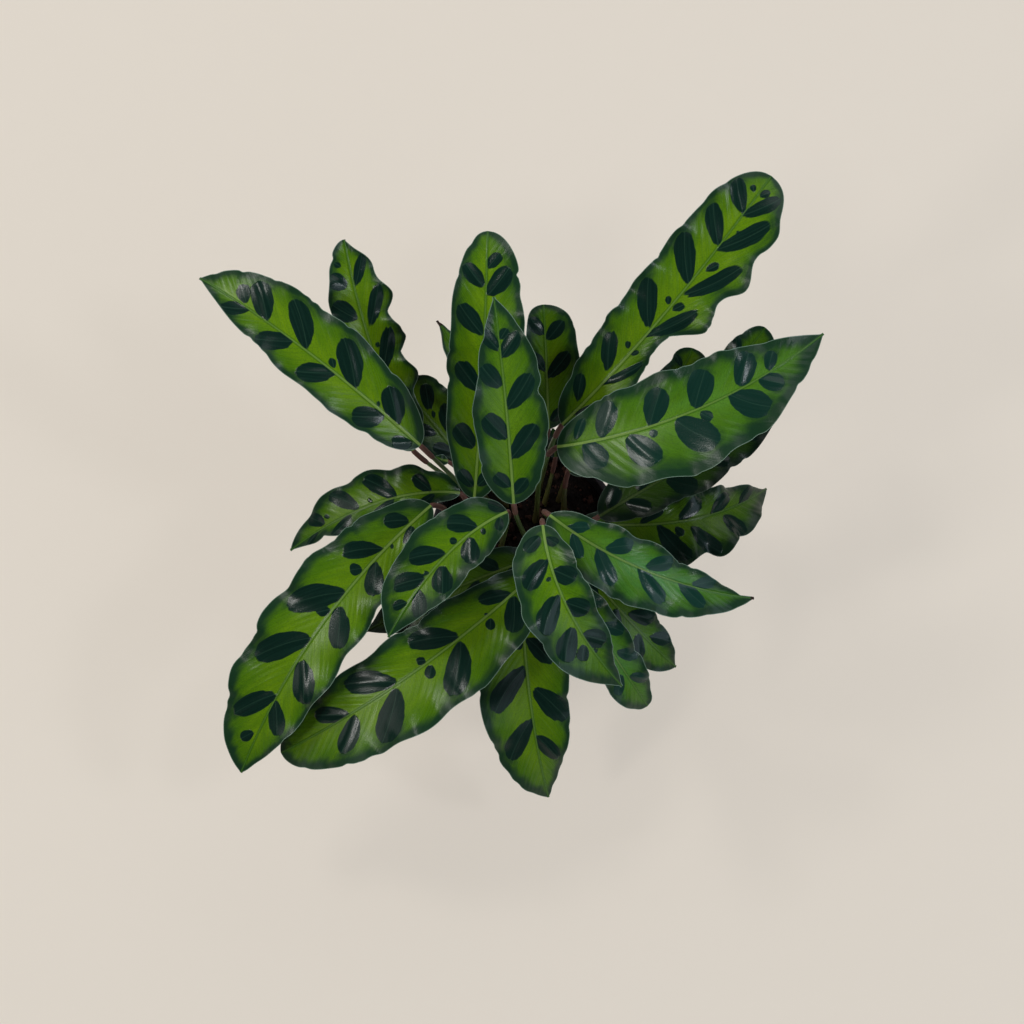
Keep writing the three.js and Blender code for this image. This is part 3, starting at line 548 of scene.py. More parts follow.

# %% [markdown]
# ## Leaf surface, upper face
# The real upper face is living leaf tissue under a thin waxy cuticle, so it has soft, satin reflections that
# run along the pleats. Its ground is yellow-green, with lighter and darker streaks along the side veins, and
# painted shade deepens it towards the margin. A dark bluish green band follows the margin, and the ovals have
# the same dark green. The rib is a light line with painted shade in the grooves beside it, and the very edge
# is a thin pale line of painted light shining through the thin margin. Some leaves also take a painted bluish
# reflection, and those low down painted shade.
# Each colour is laid over the last through a mask made from the fields on the vertices, as a screen
# printer lays inks. So the patterns come first, then the masks, the inks, and last the gloss and relief.

# %% Patterns on the leaf
def field(tree, name):
    """One of the vertex fields, as a socket."""
    return add(tree, "Attribute", attribute_name=name).outputs["Fac"]


def leaf_noise(tree, along_mm, across_mm, shift, detail):
    """Noise that follows the side veins, its steps in mm. The tint shifts it, so no two leaves are alike."""
    place = add(tree, "CombineXYZ", {
        axis: add(tree, "Math", {0: field(tree, name), 1: times}, operation="MULTIPLY").outputs[0]
        for axis, name, times in (("X", "vein_mm", 1 / along_mm), ("Y", "across_mm", 1 / across_mm),
                                  ("Z", "tint", shift))}).outputs[0]
    return add(tree, "TexNoise", {"Vector": place, "Scale": 1.0, "Detail": detail}).outputs["Fac"]


leaf_upper, tree, shader = new_material("waxy_leaf_upper_face")
# Streaks 1.6 mm apart along the side veins: the real veins are 0.5 mm apart, too fine to show.
streak = leaf_noise(tree, 1.6, 22, 40.0, 3.0)
# Broad patches, 12 mm along the leaf by 9 mm across it.
broad = leaf_noise(tree, 12, 9, 25.0, 2.0)
wobble = leaf_noise(tree, 7, 7, 60.0, 1.0)
# The skin's cells, drawn 0.9 mm across: the real ones are under 0.1 mm, too fine to show.
cells = add(tree, "TexNoise", {"Vector": add(tree, "NewGeometry").outputs["Position"],
                               "Scale": 1 / (0.9 * MM), "Detail": 2.0}).outputs["Fac"]
print("pattern nodes:", len(tree.nodes))

# %% Masks
along, edge = field(tree, "along"), field(tree, "edge_mm")
mark, mark_axis = field(tree, "mark_mm"), field(tree, "mark_axis_mm")
off_rib = add(tree, "Math", {0: field(tree, "across_mm")}, operation="ABSOLUTE").outputs[0]
own_vein = add(tree, "Math", {0: mark_axis}, operation="ABSOLUTE").outputs[0]

# The band's inner edge is soft and wanders, and at the leaf's foot the band is wider. All three are in
# shares of the leaf's own band width.
wander = add(tree, "Math", {0: broad, 1: 1.5, 2: -0.75}, operation="MULTIPLY_ADD").outputs[0]
feather = add(tree, "Math", {0: streak, 1: 0.2, 2: wander}, operation="MULTIPLY_ADD").outputs[0]
at_foot = add(tree, "MapRange", {"Value": along, "From Min": 0.22, "From Max": 0.0, "To Min": 0.45,
                                 "To Max": 0.9}).outputs[0]
uneven = add(tree, "Math", {0: feather, 1: at_foot}, operation="SUBTRACT").outputs[0]
edge_share = add(tree, "Math", {0: edge, 1: field(tree, "band_mm")}, operation="DIVIDE").outputs[0]
band_edge = add(tree, "Math", {0: edge_share, 1: uneven}, operation="ADD").outputs[0]
# The ovals' outlines wander by a few tenths of a millimetre every 7 mm.
wobble_mm = add(tree, "Math", {0: wobble, 1: 2.0, 2: -0.7}, operation="MULTIPLY_ADD").outputs[0]
ragged = add(tree, "Math", {0: streak, 1: 0.3, 2: wobble_mm}, operation="MULTIPLY_ADD").outputs[0]
mark_edge = add(tree, "Math", {0: mark, 1: ragged}, operation="ADD").outputs[0]
# The rib is 1.9 mm wide at the leaf's foot and 0.7 mm at its tip.
rib_half = add(tree, "Math", {0: along, 1: -0.6, 2: 0.95}, operation="MULTIPLY_ADD").outputs[0]
from_rib = add(tree, "Math", {0: off_rib, 1: rib_half}, operation="SUBTRACT").outputs[0]

# A mask's row: the value that it reads, where it begins, where it is full, and how full it gets.
SOFT, EVEN = "SMOOTHSTEP", "LINEAR"
masks = {}
for name, value, begins, is_full, most, ramp in (
        ("plain_band", band_edge, 1.6, 0.2, 0.95, SOFT),
        # Painted shade, deepening the green towards the margin.
        ("margin_shade", band_edge, 5.0, 1.0, 0.7, SOFT),  # the green deepens towards the margin
        ("outer", band_edge, 2.2, 0.9, 0.8, SOFT),
        ("round_oval", mark, -4.0, 0.0, 1.0, SOFT),
        ("oval", mark_edge, 0.1, 0.7, 1.0, SOFT),
        ("own_line", own_vein, 0.45, 0.1, 0.22, EVEN),
        ("rib_line", from_rib, 0.1, -0.35, 0.85, SOFT),
        # Painted shade in the grooves beside the raised rib.
        ("rib_groove_shade", from_rib, 0.9, 0.15, 0.55, EVEN),
        # Painted light at the very edge, shining through the thin margin.
        ("edge_rim_light", edge, 0.5, 0.2, 0.6, EVEN),
        ("fine", streak, 0.45, 0.68, 0.3, EVEN),
        ("mottle", cells, 0.45, 0.7, 0.25, EVEN)):
    masks[name] = add(tree, "MapRange", {"Value": value, "From Min": begins, "From Max": is_full,
                                         "To Max": most}, interpolation_type=ramp).outputs[0]
oval = masks["oval"]
# Round an oval's outer end the green darkens over 4 mm, so the oval runs into the band.
halo = add(tree, "Math", {0: masks["round_oval"], 1: masks["outer"]}, operation="MULTIPLY").outputs[0]
band = add(tree, "Math", {0: masks["plain_band"], 1: halo}, operation="MAXIMUM").outputs[0]
oval_line = add(tree, "Math", {0: oval, 1: masks["own_line"]}, operation="MULTIPLY").outputs[0]
oval_fine = add(tree, "Math", {0: masks["fine"], 1: oval}, operation="MULTIPLY").outputs[0]
print("masks:", *masks)

# %% Inks
ground = add(tree, "Mix", {0: broad, 6: linear("#4B7404"), 7: linear("#72960E")},
             data_type="RGBA").outputs[2]
bluish_sheen, shade_depth = field(tree, "bluish_sheen"), field(tree, "shade_depth")
# Painted bluish reflection: a leaf takes it in patches, and hardly at its base.
past_base = add(tree, "MapRange", {"Value": along, "From Min": 0.05, "From Max": 0.45,
                                   "To Min": 0.15}).outputs[0]
patchy = add(tree, "MapRange", {"Value": broad, "From Min": 0.3, "From Max": 0.6, "To Min": 0.35}).outputs[0]
sheen_here = add(tree, "Math", {0: past_base, 1: patchy}, operation="MULTIPLY").outputs[0]
sheen_here = add(tree, "Math", {0: bluish_sheen, 1: sheen_here}, operation="MULTIPLY").outputs[0]
rib_tone = add(tree, "Mix", {0: along, 6: linear("#7F9C4A"), 7: linear("#3F6A20")},
               data_type="RGBA").outputs[2]
# Where a leaf takes the painted bluish reflection, its ovals are painted a little lighter too.
oval_tone_and_sheen = add(tree, "Mix", {0: bluish_sheen, 6: linear("#08231C"), 7: linear("#13392F")},
                data_type="RGBA").outputs[2]
# Painted shade on leaves that lie low, under others.
painted_shade = add(tree, "Math", {0: shade_depth, 1: 0.8}, operation="MULTIPLY").outputs[0]
for mask, tone in ((sheen_here, linear("#3F7F3A")), (masks["fine"], linear("#3C6A04")),
                   (masks["margin_shade"], linear("#3A6608")), (band, linear("#123220")),
                   (masks["rib_groove_shade"], linear("#24500C")), (oval, oval_tone_and_sheen),
                   (oval_fine, linear("#1E3D32")), (masks["mottle"], linear("#12301C")),
                   (oval_line, linear("#3F5F4C")), (masks["rib_line"], rib_tone),
                   (masks["edge_rim_light"], linear("#86A08E")), (field(tree, "dry"), linear("#2B1A12")),
                   (painted_shade, linear("#06140C"))):
    ground = add(tree, "Mix", {0: mask, 6: ground, 7: tone}, data_type="RGBA").outputs[2]
tree.links.new(ground, shader.inputs["Base Color"])
print("nodes with the inks:", len(tree.nodes))

# %% Gloss and relief
# Wax has an IOR of about 1.45. An oval is smoother than the green round it.
calm = add(tree, "MapRange", {"Value": oval, "To Min": 1.0, "To Max": 0.1}).outputs[0]
centred = add(tree, "Math", {0: streak, 1: 0.5}, operation="SUBTRACT").outputs[0]
swell = add(tree, "Math", {0: centred, 1: calm}, operation="MULTIPLY").outputs[0]
gloss = 0.28
for value, change in ((swell, 0.15), (masks["plain_band"], 0.04), (oval, -0.06)):
    gloss = add(tree, "Math", {0: value, 1: change, 2: gloss}, operation="MULTIPLY_ADD").outputs[0]
tree.links.new(gloss, shader.inputs["Roughness"])
# Some ovals are creased along their own vein: a soft ridge up to 0.5 mm high that reaches 4 mm to each side.
crease = add(tree, "MapRange", {"Value": own_vein, "From Min": 4.0, "From Max": 0.0, "To Max": 0.5},
             interpolation_type=SOFT).outputs[0]
creased = add(tree, "MapRange", {"Value": field(tree, "crease"), "From Min": 0.3}).outputs[0]
creased = add(tree, "Math", {0: creased, 1: oval}, operation="MULTIPLY").outputs[0]
height_mm = add(tree, "Math", {0: crease, 1: creased}, operation="MULTIPLY").outputs[0]
for value, rise in ((swell, 0.09), (cells, 0.06)):
    height_mm = add(tree, "Math", {0: value, 1: rise, 2: height_mm}, operation="MULTIPLY_ADD").outputs[0]
relief = add(tree, "Bump", {"Height": height_mm, "Strength": 1.0, "Distance": MM}).outputs[0]
tree.links.new(relief, shader.inputs["Normal"])
shader.inputs["IOR"].default_value = 1.45
shader.inputs["Specular IOR Level"].default_value = 0.25
print("leaf nodes:", len(tree.nodes))

# %% [markdown]
# ## Leaf surface, underside
# Below, the blade of this plant is deep wine red: the pigment lies in the lower skin, which has no wax
# shine. The ovals show through faintly, and the side veins stand out as fine paler lines.

# %% Wine-red underside
leaf_under, tree, shader = new_material("matte_leaf_underside")
vein, mark = field(tree, "vein_mm"), field(tree, "mark_mm")
across = field(tree, "across_mm")
off_rib = add(tree, "Math", {0: across}, operation="ABSOLUTE").outputs[0]
# Raised side veins 2.2 mm apart: the real ones are 0.5 mm apart, too fine to show.
vein_turn = add(tree, "Math", {0: vein, 1: 2 * math.pi / 2.2}, operation="MULTIPLY").outputs[0]
vein_wave = add(tree, "Math", {0: vein_turn}, operation="SINE").outputs[0]
vein_lines = add(tree, "MapRange", {"Value": vein_wave, "From Min": 0.6, "From Max": 1.0,
                                    "To Max": 0.35}).outputs[0]
shadow = add(tree, "MapRange", {"Value": mark, "From Min": -0.5, "From Max": 0.8,
                                "To Max": 0.45}).outputs[0]
rib_line = add(tree, "MapRange", {"Value": off_rib, "From Min": 1.6, "From Max": 0.9}).outputs[0]
spread = add(tree, "CombineXYZ", {"X": vein, "Y": across}).outputs[0]
# Patches 4 mm wide: the vector is already in mm.
mottle = add(tree, "TexNoise", {"Vector": spread, "Scale": 1 / 4, "Detail": 4.0}).outputs["Fac"]
wine = add(tree, "Mix", {0: mottle, 6: linear("#4A1A2E"), 7: linear("#6B2A44")},
           data_type="RGBA").outputs[2]
for mask, tone in ((shadow, "#35142A"), (vein_lines, "#7A4152"), (rib_line, "#6E4A44")):
    wine = add(tree, "Mix", {0: mask, 6: wine, 7: linear(tone)}, data_type="RGBA").outputs[2]
tree.links.new(wine, shader.inputs["Base Color"])
relief = add(tree, "Bump", {"Height": vein_wave, "Strength": 0.4, "Distance": 0.15 * MM}).outputs[0]
tree.links.new(relief, shader.inputs["Normal"])
shader.inputs["Roughness"].default_value = 0.58
shader.inputs["IOR"].default_value = 1.4
print("underside nodes:", len(tree.nodes))

# %% [markdown]
# ## The blades
# Each blade's two grids are joined into one closed mesh by a strip of faces round the margin, where the
# tissue ends in a sharp edge. Its faces know which skin they have.

# %% Make the blades
def blade_object(name, leaf, marks, seed, materials):
    """A closed blade: material 0 on its upper face and margin, 1 below."""
    upper, lower, fields = blade_grid(leaf, marks, seed)
    rows, columns = upper.shape[:2]
    below = rows * columns
    index = np.arange(below).reshape(rows, columns)
    top = np.stack([index[:-1, :-1], index[:-1, 1:], index[1:, 1:], index[1:, :-1]], -1).reshape(-1, 4)
    bottom = top[:, ::-1] + below
    loop = np.concatenate([index[0, :-1], index[:-1, -1], index[-1, :0:-1], index[:0:-1, 0]])
    after = np.roll(loop, -1)
    rim = np.stack([loop, loop + below, after + below, after], -1)
    points = np.concatenate([upper.reshape(-1, 3), lower.reshape(-1, 3)])
    both = {key: np.concatenate([value.ravel(), value.ravel()]) for key, value in fields.items()}
    piece = make_object(name, points, np.concatenate([top, bottom, rim]), materials, both)
    shade = np.repeat(np.array((0, 1, 0), np.int32), (len(top), len(bottom), len(rim)))
    piece.data.polygons.foreach_set("material_index", shade)
    piece.data.set_sharp_from_angle(angle=math.radians(50))
    return piece


triangles = 0
for number, leaf in LEAVES.items():
    piece = blade_object(f"blade_{number}", leaf, MARKS[number], int(number), (leaf_upper, leaf_under))
    settle(piece, f"leaf_{number}_blade")
    triangles += 2 * len(piece.data.polygons)
print("blade triangles:", triangles)

# %% [markdown]
# ## Stalks
# A stalk is a thin green petiole. Its last 14 mm, under the blade, are a swollen joint that lifts the leaf
# at night and lowers it by day. That joint is red-brown and a little thicker, with a crease where it ends.
# A tube along a curve would do, but its radius has to follow the joint, so the rings are set one by one: each
# ring stands across the curve, and its radius comes from its distance to the blade.

# %% Stalk shape
GAP = 0.3  # mm between neighbouring pieces
# The stalk's radii at its foot and top, how much it swells near the soil and over how many mm, its joint's
# length and swelling, the depth of the crease where the joint ends, and how soft that end is. Then how far
# it reaches into the soil, how far under the rib it ends, and the leaf's half width from which a stalk has
# its full thickness. Its curve's handles follow: how it leans, rises, bends and turns. Last come the
# number of its sides and the spacing of its rings.
STALK = dict(foot=1.9, top=1.3, swell=0.5, swell_reach=14, joint=14, swelling=0.4, crease=0.25, soft=0.8,
             root=12, under=0.9, full=12, lean=0.5, rise=0.35, bend=0.2, turn=0.5, sides=14, ring=1.4)
TONGUE = (0.012, 0.03), (1.5, 1.7)  # where its end runs on under the rib, as shares, and how far under in mm
SIDEWAYS = 0.31, 0.95, 0.05  # a direction that no stalk takes, to set its rings by
RIBBING = 0.03, 4  # the stalk's own ribs: their height as a share of its radius, and their number
# The height of the soil's edge, how much higher its middle is, and its lumps' height and two pitches.
SOIL = dict(level=104, crown=5, lump=1.6, coarse=(0.31, 0.27), fine=(0.83, 0.71))
# Radii of rim, foot and drains, the rim band's height and the step under it, and the wall and floor.
POT = dict(rim=65, foot=47, height=116, wall=1.6, band=10, step=2.2, floor=2,
           drain_ring=33, drain=5, drains=6)


def inner_radius(z):
    """The pot's inside radius at a height."""
    return POT["foot"] + (POT["rim"] - POT["step"] - POT["foot"]) * z / POT["height"] - POT["wall"]


def soil_top(x, y):
    """The soil's height: a low crown with mounds and clods."""
    share = np.hypot(x, y) / inner_radius(SOIL["level"])
    mounds = np.sin(x * SOIL["coarse"][0] + 1) * np.cos(y * SOIL["coarse"][1])
    clods = np.sin(x * SOIL["fine"][0] + y * SOIL["fine"][1])
    lumps = SOIL["lump"] * (mounds + 0.6 * clods) * (1 - share ** 4)
    return SOIL["level"] + SOIL["crown"] * (1 - share ** 2) + lumps


def stalk_curve(leaf, along):
    """Places along a stalk, from the soil to its blade, and the blade's up direction."""
    place, forward, _, up = directions(leaf, 0.0)
    top = place - forward * GAP - up * STALK["under"]
    foot = np.array((*leaf["foot"], soil_top(*leaf["foot"])))
    lean = top - foot
    reach = np.linalg.norm(lean)
    rising = unit(lean * (STALK["lean"], STALK["lean"], 1))
    turn, bend = leaf.get("turn", STALK["turn"]), leaf.get("bend", STALK["bend"])
    arriving = unit(unit(lean) * (1 - turn) + forward * turn)
    handles = (foot, foot + rising * STALK["rise"] * reach, top - arriving * bend * reach, top)
    t = np.asarray(along, float)[:, None]
    weights = ((1 - t) ** 3, 3 * t * (1 - t) ** 2, 3 * t ** 2 * (1 - t), t ** 3)
    return sum(w * h for w, h in zip(weights, handles)), up


def stalk_object(name, leaf, seed, material):
    """A closed stalk that starts below the soil and runs on under the blade's rib."""
    random = np.random.default_rng(seed)
    curve, up = stalk_curve(leaf, np.linspace(0, 1, 120))
    size = min(1, leaf["half"][0] / STALK["full"])
    start = curve[0] - unit(curve[1] - curve[0]) * STALK["root"]
    tongue = rib(leaf, np.array(TONGUE[0]))[0] - up * np.array(TONGUE[1])[:, None]
    spine = np.concatenate([[start], curve, tongue])
    steps = np.concatenate([[0], np.cumsum(np.linalg.norm(np.diff(spine, axis=0), axis=1))])
    marks = np.linspace(0, steps[-1], max(20, round(steps[-1] / STALK["ring"])))
    centre = np.stack([np.interp(marks, steps, spine[:, i]) for i in range(3)], -1)
    heading = unit(np.gradient(centre, axis=0))
    across = unit(np.cross(heading, SIDEWAYS))
    over = np.cross(across, heading)
    from_top = steps[-3] - marks
    share = np.clip(marks / steps[-1], 0, 1)
    radius = STALK["foot"] + (STALK["top"] - STALK["foot"]) * share
    radius += STALK["swell"] * np.exp(-((marks - STALK["root"]) / STALK["swell_reach"]) ** 2)
    joint = 1 / (1 + np.exp((from_top - STALK["joint"]) / STALK["soft"]))
    crease = STALK["crease"] * np.exp(-((from_top - STALK["joint"] - 1) / STALK["soft"]) ** 2)
    radius += STALK["swelling"] * joint - crease
    radius *= (1 - 0.5 * np.clip(-from_top / 2, 0, 1)) * (0.7 + 0.3 * size)
    turns = np.linspace(0, 2 * np.pi, STALK["sides"], endpoint=False)
    ribbing = 1 + RIBBING[0] * np.sin(RIBBING[1] * turns + random.uniform(0, 6))[None]
    ring = radius[:, None] * ribbing
    points = centre[:, None] + (ring * np.cos(turns))[..., None] * across[:, None]
    points += (ring * np.sin(turns))[..., None] * over[:, None]
    rows, sides = ring.shape
    fields = dict(from_top_mm=np.repeat(from_top, sides),
                  above_soil_mm=np.repeat(marks - STALK["root"], sides),
                  tint=np.full(rows * sides, random.uniform(0, 1)))
    return make_object(name, points.reshape(-1, 3), tube_faces(rows, sides), [material], fields)


stalk_top = stalk_curve(LEAVES["01"], [1])[0][0]
print("stalk 01 rises", round(float(stalk_top[2]) - SOIL["level"]), "mm over the soil")

# %% [markdown]
# ## Stalk skin
# The petiole's skin is smooth and a little waxy. It is green, turning reddish towards the soil, and its
# joint under the blade is red-brown with a fine bloom of hairs, which takes away its shine.

# %% Petiole skin
stalk_skin, tree, shader = new_material("petiole_skin")
from_top, above, tint = field(tree, "from_top_mm"), field(tree, "above_soil_mm"), field(tree, "tint")
place = add(tree, "NewGeometry").outputs["Position"]
speckle = add(tree, "TexNoise", {"Vector": place, "Scale": 1 / (2.5 * MM), "Detail": 5.0}).outputs["Fac"]
joint = add(tree, "MapRange", {"Value": from_top, "From Min": 15.0, "From Max": 13.0},
            interpolation_type="SMOOTHSTEP").outputs[0]
blush = add(tree, "MapRange", {"Value": above, "From Min": 70.0, "From Max": 0.0, "To Max": 0.6}).outputs[0]
flecks = add(tree, "MapRange", {"Value": speckle, "From Min": 0.5, "From Max": 0.7,
                                "To Max": 0.5}).outputs[0]
skin = add(tree, "Mix", {0: tint, 6: linear("#334F1E"), 7: linear("#4A6428")}, data_type="RGBA").outputs[2]
for mask, tone in ((blush, "#5A3B2A"), (flecks, "#2E4A22"), (joint, "#5C3A30")):
    skin = add(tree, "Mix", {0: mask, 6: skin, 7: linear(tone)}, data_type="RGBA").outputs[2]
tree.links.new(skin, shader.inputs["Base Color"])
dull = add(tree, "MapRange", {"Value": joint, "To Min": 0.4, "To Max": 0.65}).outputs[0]
tree.links.new(dull, shader.inputs["Roughness"])
relief = add(tree, "Bump", {"Height": speckle, "Strength": 0.3, "Distance": 0.1 * MM}).outputs[0]
tree.links.new(relief, shader.inputs["Normal"])
print("petiole nodes:", len(tree.nodes))

# %% Make the stalks
for number, leaf in LEAVES.items():
    piece = stalk_object(f"stalk_{number}", leaf, 100 + int(number), stalk_skin)
    settle(piece, f"leaf_{number}_stalk")

# %% [markdown]
# ## Soil
# A houseplant grows in a moist peat mix: a dark, lumpy surface strewn with crumbs, with bits of fibre and
# bark. The body is a round cake with the pot's taper, and its top is a fine polar grid, raised by the same
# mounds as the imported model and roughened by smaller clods. The crumbs are a few hundred dented pebbles of
# 1 to 5 mm, all joined in one mesh, because loose copies would be lost when the model is exported.

# %% Peat mix material
peat, tree, shader = new_material("moist_peat_mix")
place = add(tree, "NewGeometry").outputs["Position"]
crumb = add(tree, "TexNoise", {"Vector": place, "Scale": 1 / (6 * MM), "Detail": 8.0,
                               "Roughness": 0.7}).outputs["Fac"]
grit = add(tree, "TexVoronoi", {"Vector": place, "Scale": 1 / (1.8 * MM)}).outputs["Distance"]
dark = add(tree, "MapRange", {"Value": crumb, "From Min": 0.35, "From Max": 0.68}).outputs[0]
# Moist peat is dark brown, and these browns are darker still: painted shade from the leaves over it.
peat_and_shade = add(tree, "Mix", {0: dark, 6: linear("#060403"), 7: linear("#160D08")}, data_type="RGBA").outputs[2]
peat_and_shade = add(tree, "Mix", {0: field(tree, "tone"), 6: peat_and_shade, 7: linear("#38221A")},
            data_type="RGBA").outputs[2]
tree.links.new(peat_and_shade, shader.inputs["Base Color"])
height = add(tree, "Math", {0: crumb, 1: grit}, operation="SUBTRACT").outputs[0]
relief = add(tree, "Bump", {"Height": height, "Strength": 0.9, "Distance": 0.8 * MM}).outputs[0]
tree.links.new(relief, shader.inputs["Normal"])
shader.inputs["Roughness"].default_value = 0.9
shader.inputs["Specular IOR Level"].default_value = 0.15
print("peat nodes:", len(tree.nodes))

# %% Soil body
SECTORS = 160
CLODS, CLOD_SHARE = (9, 5, 3), 0.035  # the clods' sizes in mm, and their height as a share of that


def soil_body():
    """A closed cake of soil on a polar grid: its top, its side and its foot."""
    random = np.random.default_rng(5)
    edge_radius = inner_radius(SOIL["level"]) - GAP
    radii = np.concatenate([[0.6], np.linspace(1.8, edge_radius, 46)])
    turns = np.linspace(0, 2 * np.pi, SECTORS, endpoint=False)
    x, y = radii[:, None] * np.cos(turns), radii[:, None] * np.sin(turns)
    z = soil_top(x, y)
    for size in CLODS:
        shifts, headings = random.uniform(0, 6.28, 6), random.uniform(0, 6.28, 6)
        for shift, heading in zip(shifts, headings):
            travel = x * math.cos(heading) + y * math.sin(heading)
            z = z + CLOD_SHARE * size * np.sin(2 * np.pi * travel / size + shift)
    z[-1] = SOIL["level"] - 0.5
    rings = [np.stack([x, y, z], -1)]
    for level in (60, POT["floor"] + 3, POT["floor"] + GAP):
        radius = inner_radius(level) - GAP - (POT["wall"] if level < 4 else 0)
        ring = np.stack([radius * np.cos(turns), radius * np.sin(turns), np.full(SECTORS, float(level))], -1)
        rings.append(ring[None])
    points = np.concatenate(rings)
    faces = tube_faces(len(points), SECTORS, downward=True)
    return make_object("soil_body", points.reshape(-1, 3), faces, [peat])


settle(soil_body(), "soil")

# %% Crumbs
CRUMBS, CRUMB_SPREAD = 420, 57  # how many, and within how many mm of the middle
CRUMB_SIZE, CRUMB_RANGE = 0.6, 2.4  # the smallest radius in mm, and how much more the largest has


def crumbs():
    """Dented pebbles of peat and bark, sunk into the soil's top."""
    ball = bmesh.new()
    bmesh.ops.create_icosphere(ball, subdivisions=2, radius=1)
    sphere = np.array([v.co[:] for v in ball.verts])
    corners = np.array([[v.index for v in f.verts] for f in ball.faces])
    ball.free()
    random = np.random.default_rng(9)
    points, faces, tones = [], [], []
    for number in range(CRUMBS):
        reach, turn = CRUMB_SPREAD * math.sqrt(random.uniform()), random.uniform(0, 2 * math.pi)
        x, y = reach * math.cos(turn), reach * math.sin(turn)
        size = CRUMB_SIZE + CRUMB_RANGE * random.uniform() ** 3  # most of them are small
        stretch = size * random.uniform(0.6, 1.4, 3) * (1, 1, 0.8)
        dents = 1 + 0.18 * np.sin(sphere @ random.uniform(-4, 4, (3, 3)) + random.uniform(0, 6, 3)).sum(1)
        turned, _ = np.linalg.qr(random.normal(size=(3, 3)))
        turned *= np.linalg.det(turned)
        points.append(sphere * dents[:, None] * stretch @ turned + (x, y, soil_top(x, y) + 0.3 * size))
        faces.append(corners + number * len(sphere))
        tones.append(np.full(len(sphere), random.uniform(0.3, 1)))
    piece = make_object("soil_crumbs", np.concatenate(points), np.concatenate(faces), [peat],
                        {"tone": np.concatenate(tones)})
    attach(piece, "root")
    return piece


print("crumb faces:", len(crumbs().data.polygons))

# %% [markdown]
# ## Pot
# The photograph looks down on the leaves and hides the pot, so it is the plain black nursery pot that such a
# plant is sold in: injection-moulded polypropylene, with thin walls, a stiff band at the rim and drain holes
# in its foot. Its half profile is turned round the axis with 128 steps, which is how a mould is cut too, and
# a Boolean modifier drills the holes.

# %% Polypropylene material
plastic, tree, shader = new_material("moulded_black_polypropylene")
place = add(tree, "NewGeometry").outputs["Position"]
grain = add(tree, "TexNoise", {"Vector": place, "Scale": 1 / (0.9 * MM), "Detail": 4.0}).outputs["Fac"]
dust = add(tree, "TexNoise", {"Vector": place, "Scale": 1 / (30 * MM), "Detail": 6.0}).outputs["Fac"]
film = add(tree, "MapRange", {"Value": dust, "From Min": 0.45, "From Max": 0.75, "To Max": 0.25}).outputs[0]
black = add(tree, "Mix", {0: film, 6: linear("#1E2022"), 7: linear("#4A4640")}, data_type="RGBA").outputs[2]
tree.links.new(black, shader.inputs["Base Color"])
satin = add(tree, "MapRange", {"Value": dust, "To Min": 0.38, "To Max": 0.62}).outputs[0]
tree.links.new(satin, shader.inputs["Roughness"])
relief = add(tree, "Bump", {"Height": grain, "Strength": 0.25, "Distance": 0.08 * MM}).outputs[0]
tree.links.new(relief, shader.inputs["Normal"])
shader.inputs["IOR"].default_value = 1.49
print("plastic nodes:", len(tree.nodes))

# %% Pot body
TURNS = 128


def pot_profile():
    """The pot's half section, from the middle of its foot, up the outside and down the inside."""
    height, wall, band, step, floor = (POT[k] for k in ("height", "wall", "band", "step", "floor"))
    foot, rim = POT["foot"], POT["rim"]
    band_foot = height - band
    under = inner_radius(band_foot - step) + wall
    outside = [(0.01, 0), (20, 0), (foot - 6, 0), (foot - 5, 0.6), (foot - 2.2, 0.6), (foot - 1.6, 0),
               (foot - 0.4, 0.1), (foot, 0.7), (foot + 0.3, 2), (under, band_foot - step),
               (rim - 0.7, band_foot - 0.3), (rim - 0.2, band_foot + 0.3), (rim, band_foot + 1.2),
               (rim, height - 1.2), (rim - 0.3, height - 0.3), (rim - 1, height)]
    inside = [(inner_radius(height) + 0.5, height), (inner_radius(height - 1), height - 0.6),
              (inner_radius(height - 4), height - 4), (inner_radius(60), 60),
              (inner_radius(floor + wall), floor + wall), (inner_radius(floor) - 1, floor), (0.01, floor)]
    return np.array(outside + inside, float)


def pot_body():
    """The turned pot, with its drain holes cut by a Boolean modifier that is applied."""
    profile = pot_profile()
    turns = np.linspace(0, 2 * np.pi, TURNS, endpoint=False)
    points = np.stack([profile[:, :1] * np.cos(turns), profile[:, :1] * np.sin(turns),
                       np.repeat(profile[:, 1:], TURNS, 1)], -1)
    pot = make_object("pot_body", points.reshape(-1, 3), tube_faces(len(profile), TURNS), [plastic])
    drills = []
    for hole in range(POT["drains"]):
        turn = 2 * math.pi * hole / POT["drains"]
        bpy.ops.mesh.primitive_cylinder_add(
            vertices=32, radius=POT["drain"] * MM, depth=4 * POT["floor"] * MM,
            location=(POT["drain_ring"] * MM * math.cos(turn), POT["drain_ring"] * MM * math.sin(turn), 0))
        drills.append(bpy.context.object)
        cut = pot.modifiers.new("drain", "BOOLEAN")
        cut.object = drills[-1]
    finished = bpy.data.meshes.new_from_object(pot.evaluated_get(bpy.context.evaluated_depsgraph_get()))
    pot.modifiers.clear()
    pot.data = finished
    for drill in drills:
        bpy.data.objects.remove(drill)
    finished.set_sharp_from_angle(angle=math.radians(35))
    return pot


pot = pot_body()
settle(pot, "pot")
print("pot faces:", len(pot.data.polygons))

# %% [markdown]
# ## Studio
# The photograph has hardly a shadow, and satin glints only where a leaf turns away from level. So wide
# softboxes stand round the plant, those on the right a little bluish. They leave the space over it dark,
# because a level leaf would mirror a light there to the camera as a grey haze. Three small lamps a little
# higher up give the glints. The floor is one plain pale sheet on a light table, whose own light fills most
# of the shadows. The standard view transform shows a colour as it was mixed, which a filmic one would wash
# out.

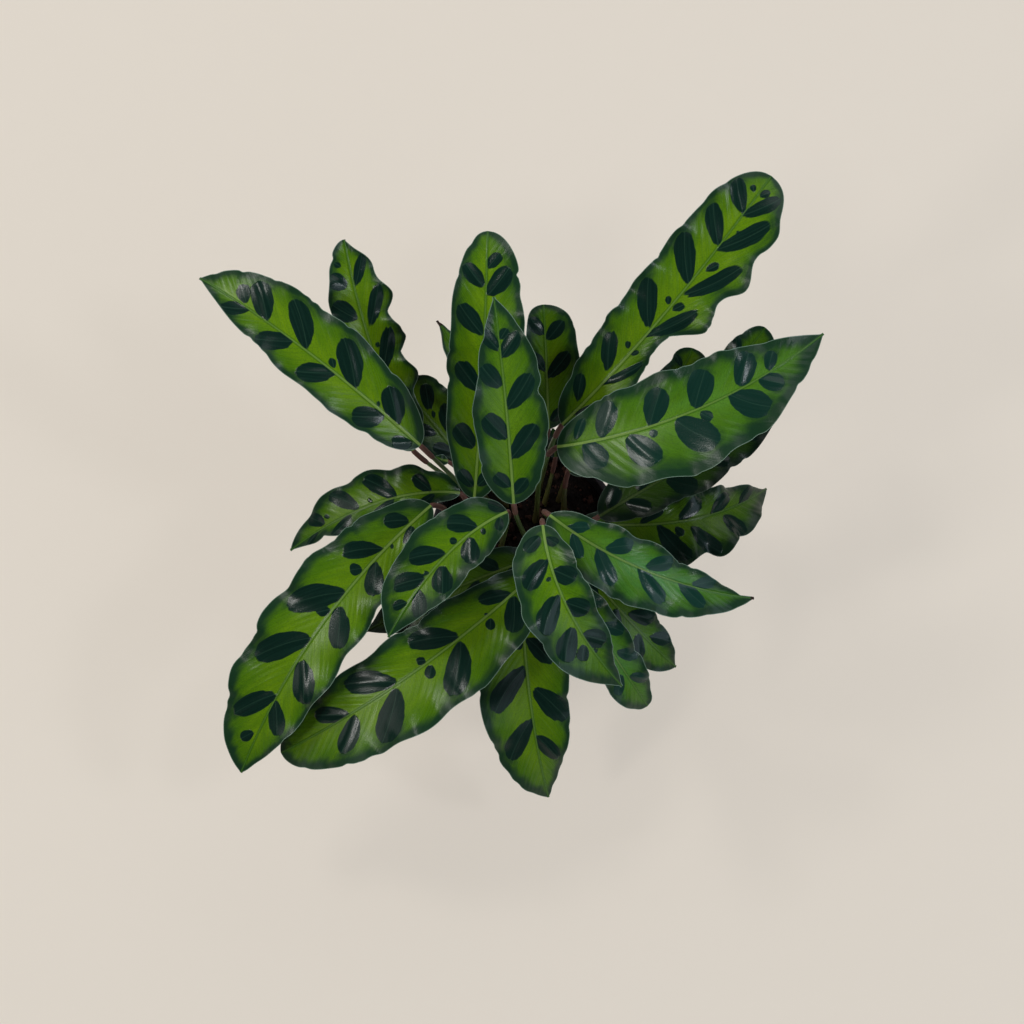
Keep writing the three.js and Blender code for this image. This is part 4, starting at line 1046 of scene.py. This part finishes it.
# %% Floor, surround and lights
floor_paint, tree, shader = new_material("matte_pale_paper")
place = add(tree, "NewGeometry").outputs["Position"]
cloud = add(tree, "TexNoise", {"Vector": place, "Scale": 1 / (25 * MM), "Detail": 4.0}).outputs["Fac"]
paper = add(tree, "Mix", {0: cloud, 6: linear("#968F86"), 7: linear("#989188")}, data_type="RGBA").outputs[2]
tree.links.new(paper, shader.inputs["Base Color"])
shader.inputs["Emission Color"].default_value = linear("#DED6CA")
shader.inputs["Emission Strength"].default_value = 0.63
shader.inputs["Roughness"].default_value = 0.95
bpy.ops.mesh.primitive_plane_add(size=8)
floor = bpy.context.object
floor.name = "floor"
floor.data.materials.append(floor_paint)

world = bpy.data.worlds.new("surround")
bpy.context.scene.world = world
world.use_nodes = True
world.node_tree.nodes["Background"].inputs["Color"].default_value = linear("#F2F4F6")
world.node_tree.nodes["Background"].inputs["Strength"].default_value = 0.09
bpy.context.scene.view_settings.view_transform = "Standard"


def softbox(name, turn, height, distance, size, power, colour):
    """A square area light aimed at the plant, at a compass turn and a height in degrees."""
    light = bpy.data.lights.new(name, "AREA")
    light.size = size
    light.energy = power
    light.color = linear(colour)[:3]
    lamp = bpy.data.objects.new(name, light)
    turn, height = math.radians(turn), math.radians(height)
    out = Vector((math.cos(height) * math.cos(turn), math.cos(height) * math.sin(turn), math.sin(height)))
    lamp.location = Vector((0, 0, 0.15)) + distance * out
    lamp.rotation_euler = out.to_track_quat("Z", "Y").to_euler()
    bpy.context.scene.collection.objects.link(lamp)


softbox("key", 138, 52, 2.0, 0.3, 8, "#FFFDF8")
softbox("glint_left", 203, 48, 2.0, 0.25, 7, "#FFFDF8")
softbox("glint_right", -2, 52, 2.0, 0.25, 6, "#F4F8FF")
softbox("right", -15, 30, 2.6, 1.8, 17, "#DCEBFF")
softbox("front_right", -55, 32, 2.6, 1.6, 7, "#E6F0FF")
softbox("back_right", 60, 35, 2.6, 1.6, 13.5, "#FBFCFF")
softbox("back_left", 130, 35, 2.6, 1.6, 11.5, "#FBFCFF")
softbox("left", 195, 36, 2.6, 1.4, 7.5, "#FFFDF8")
print("lights:", len(bpy.data.lights))
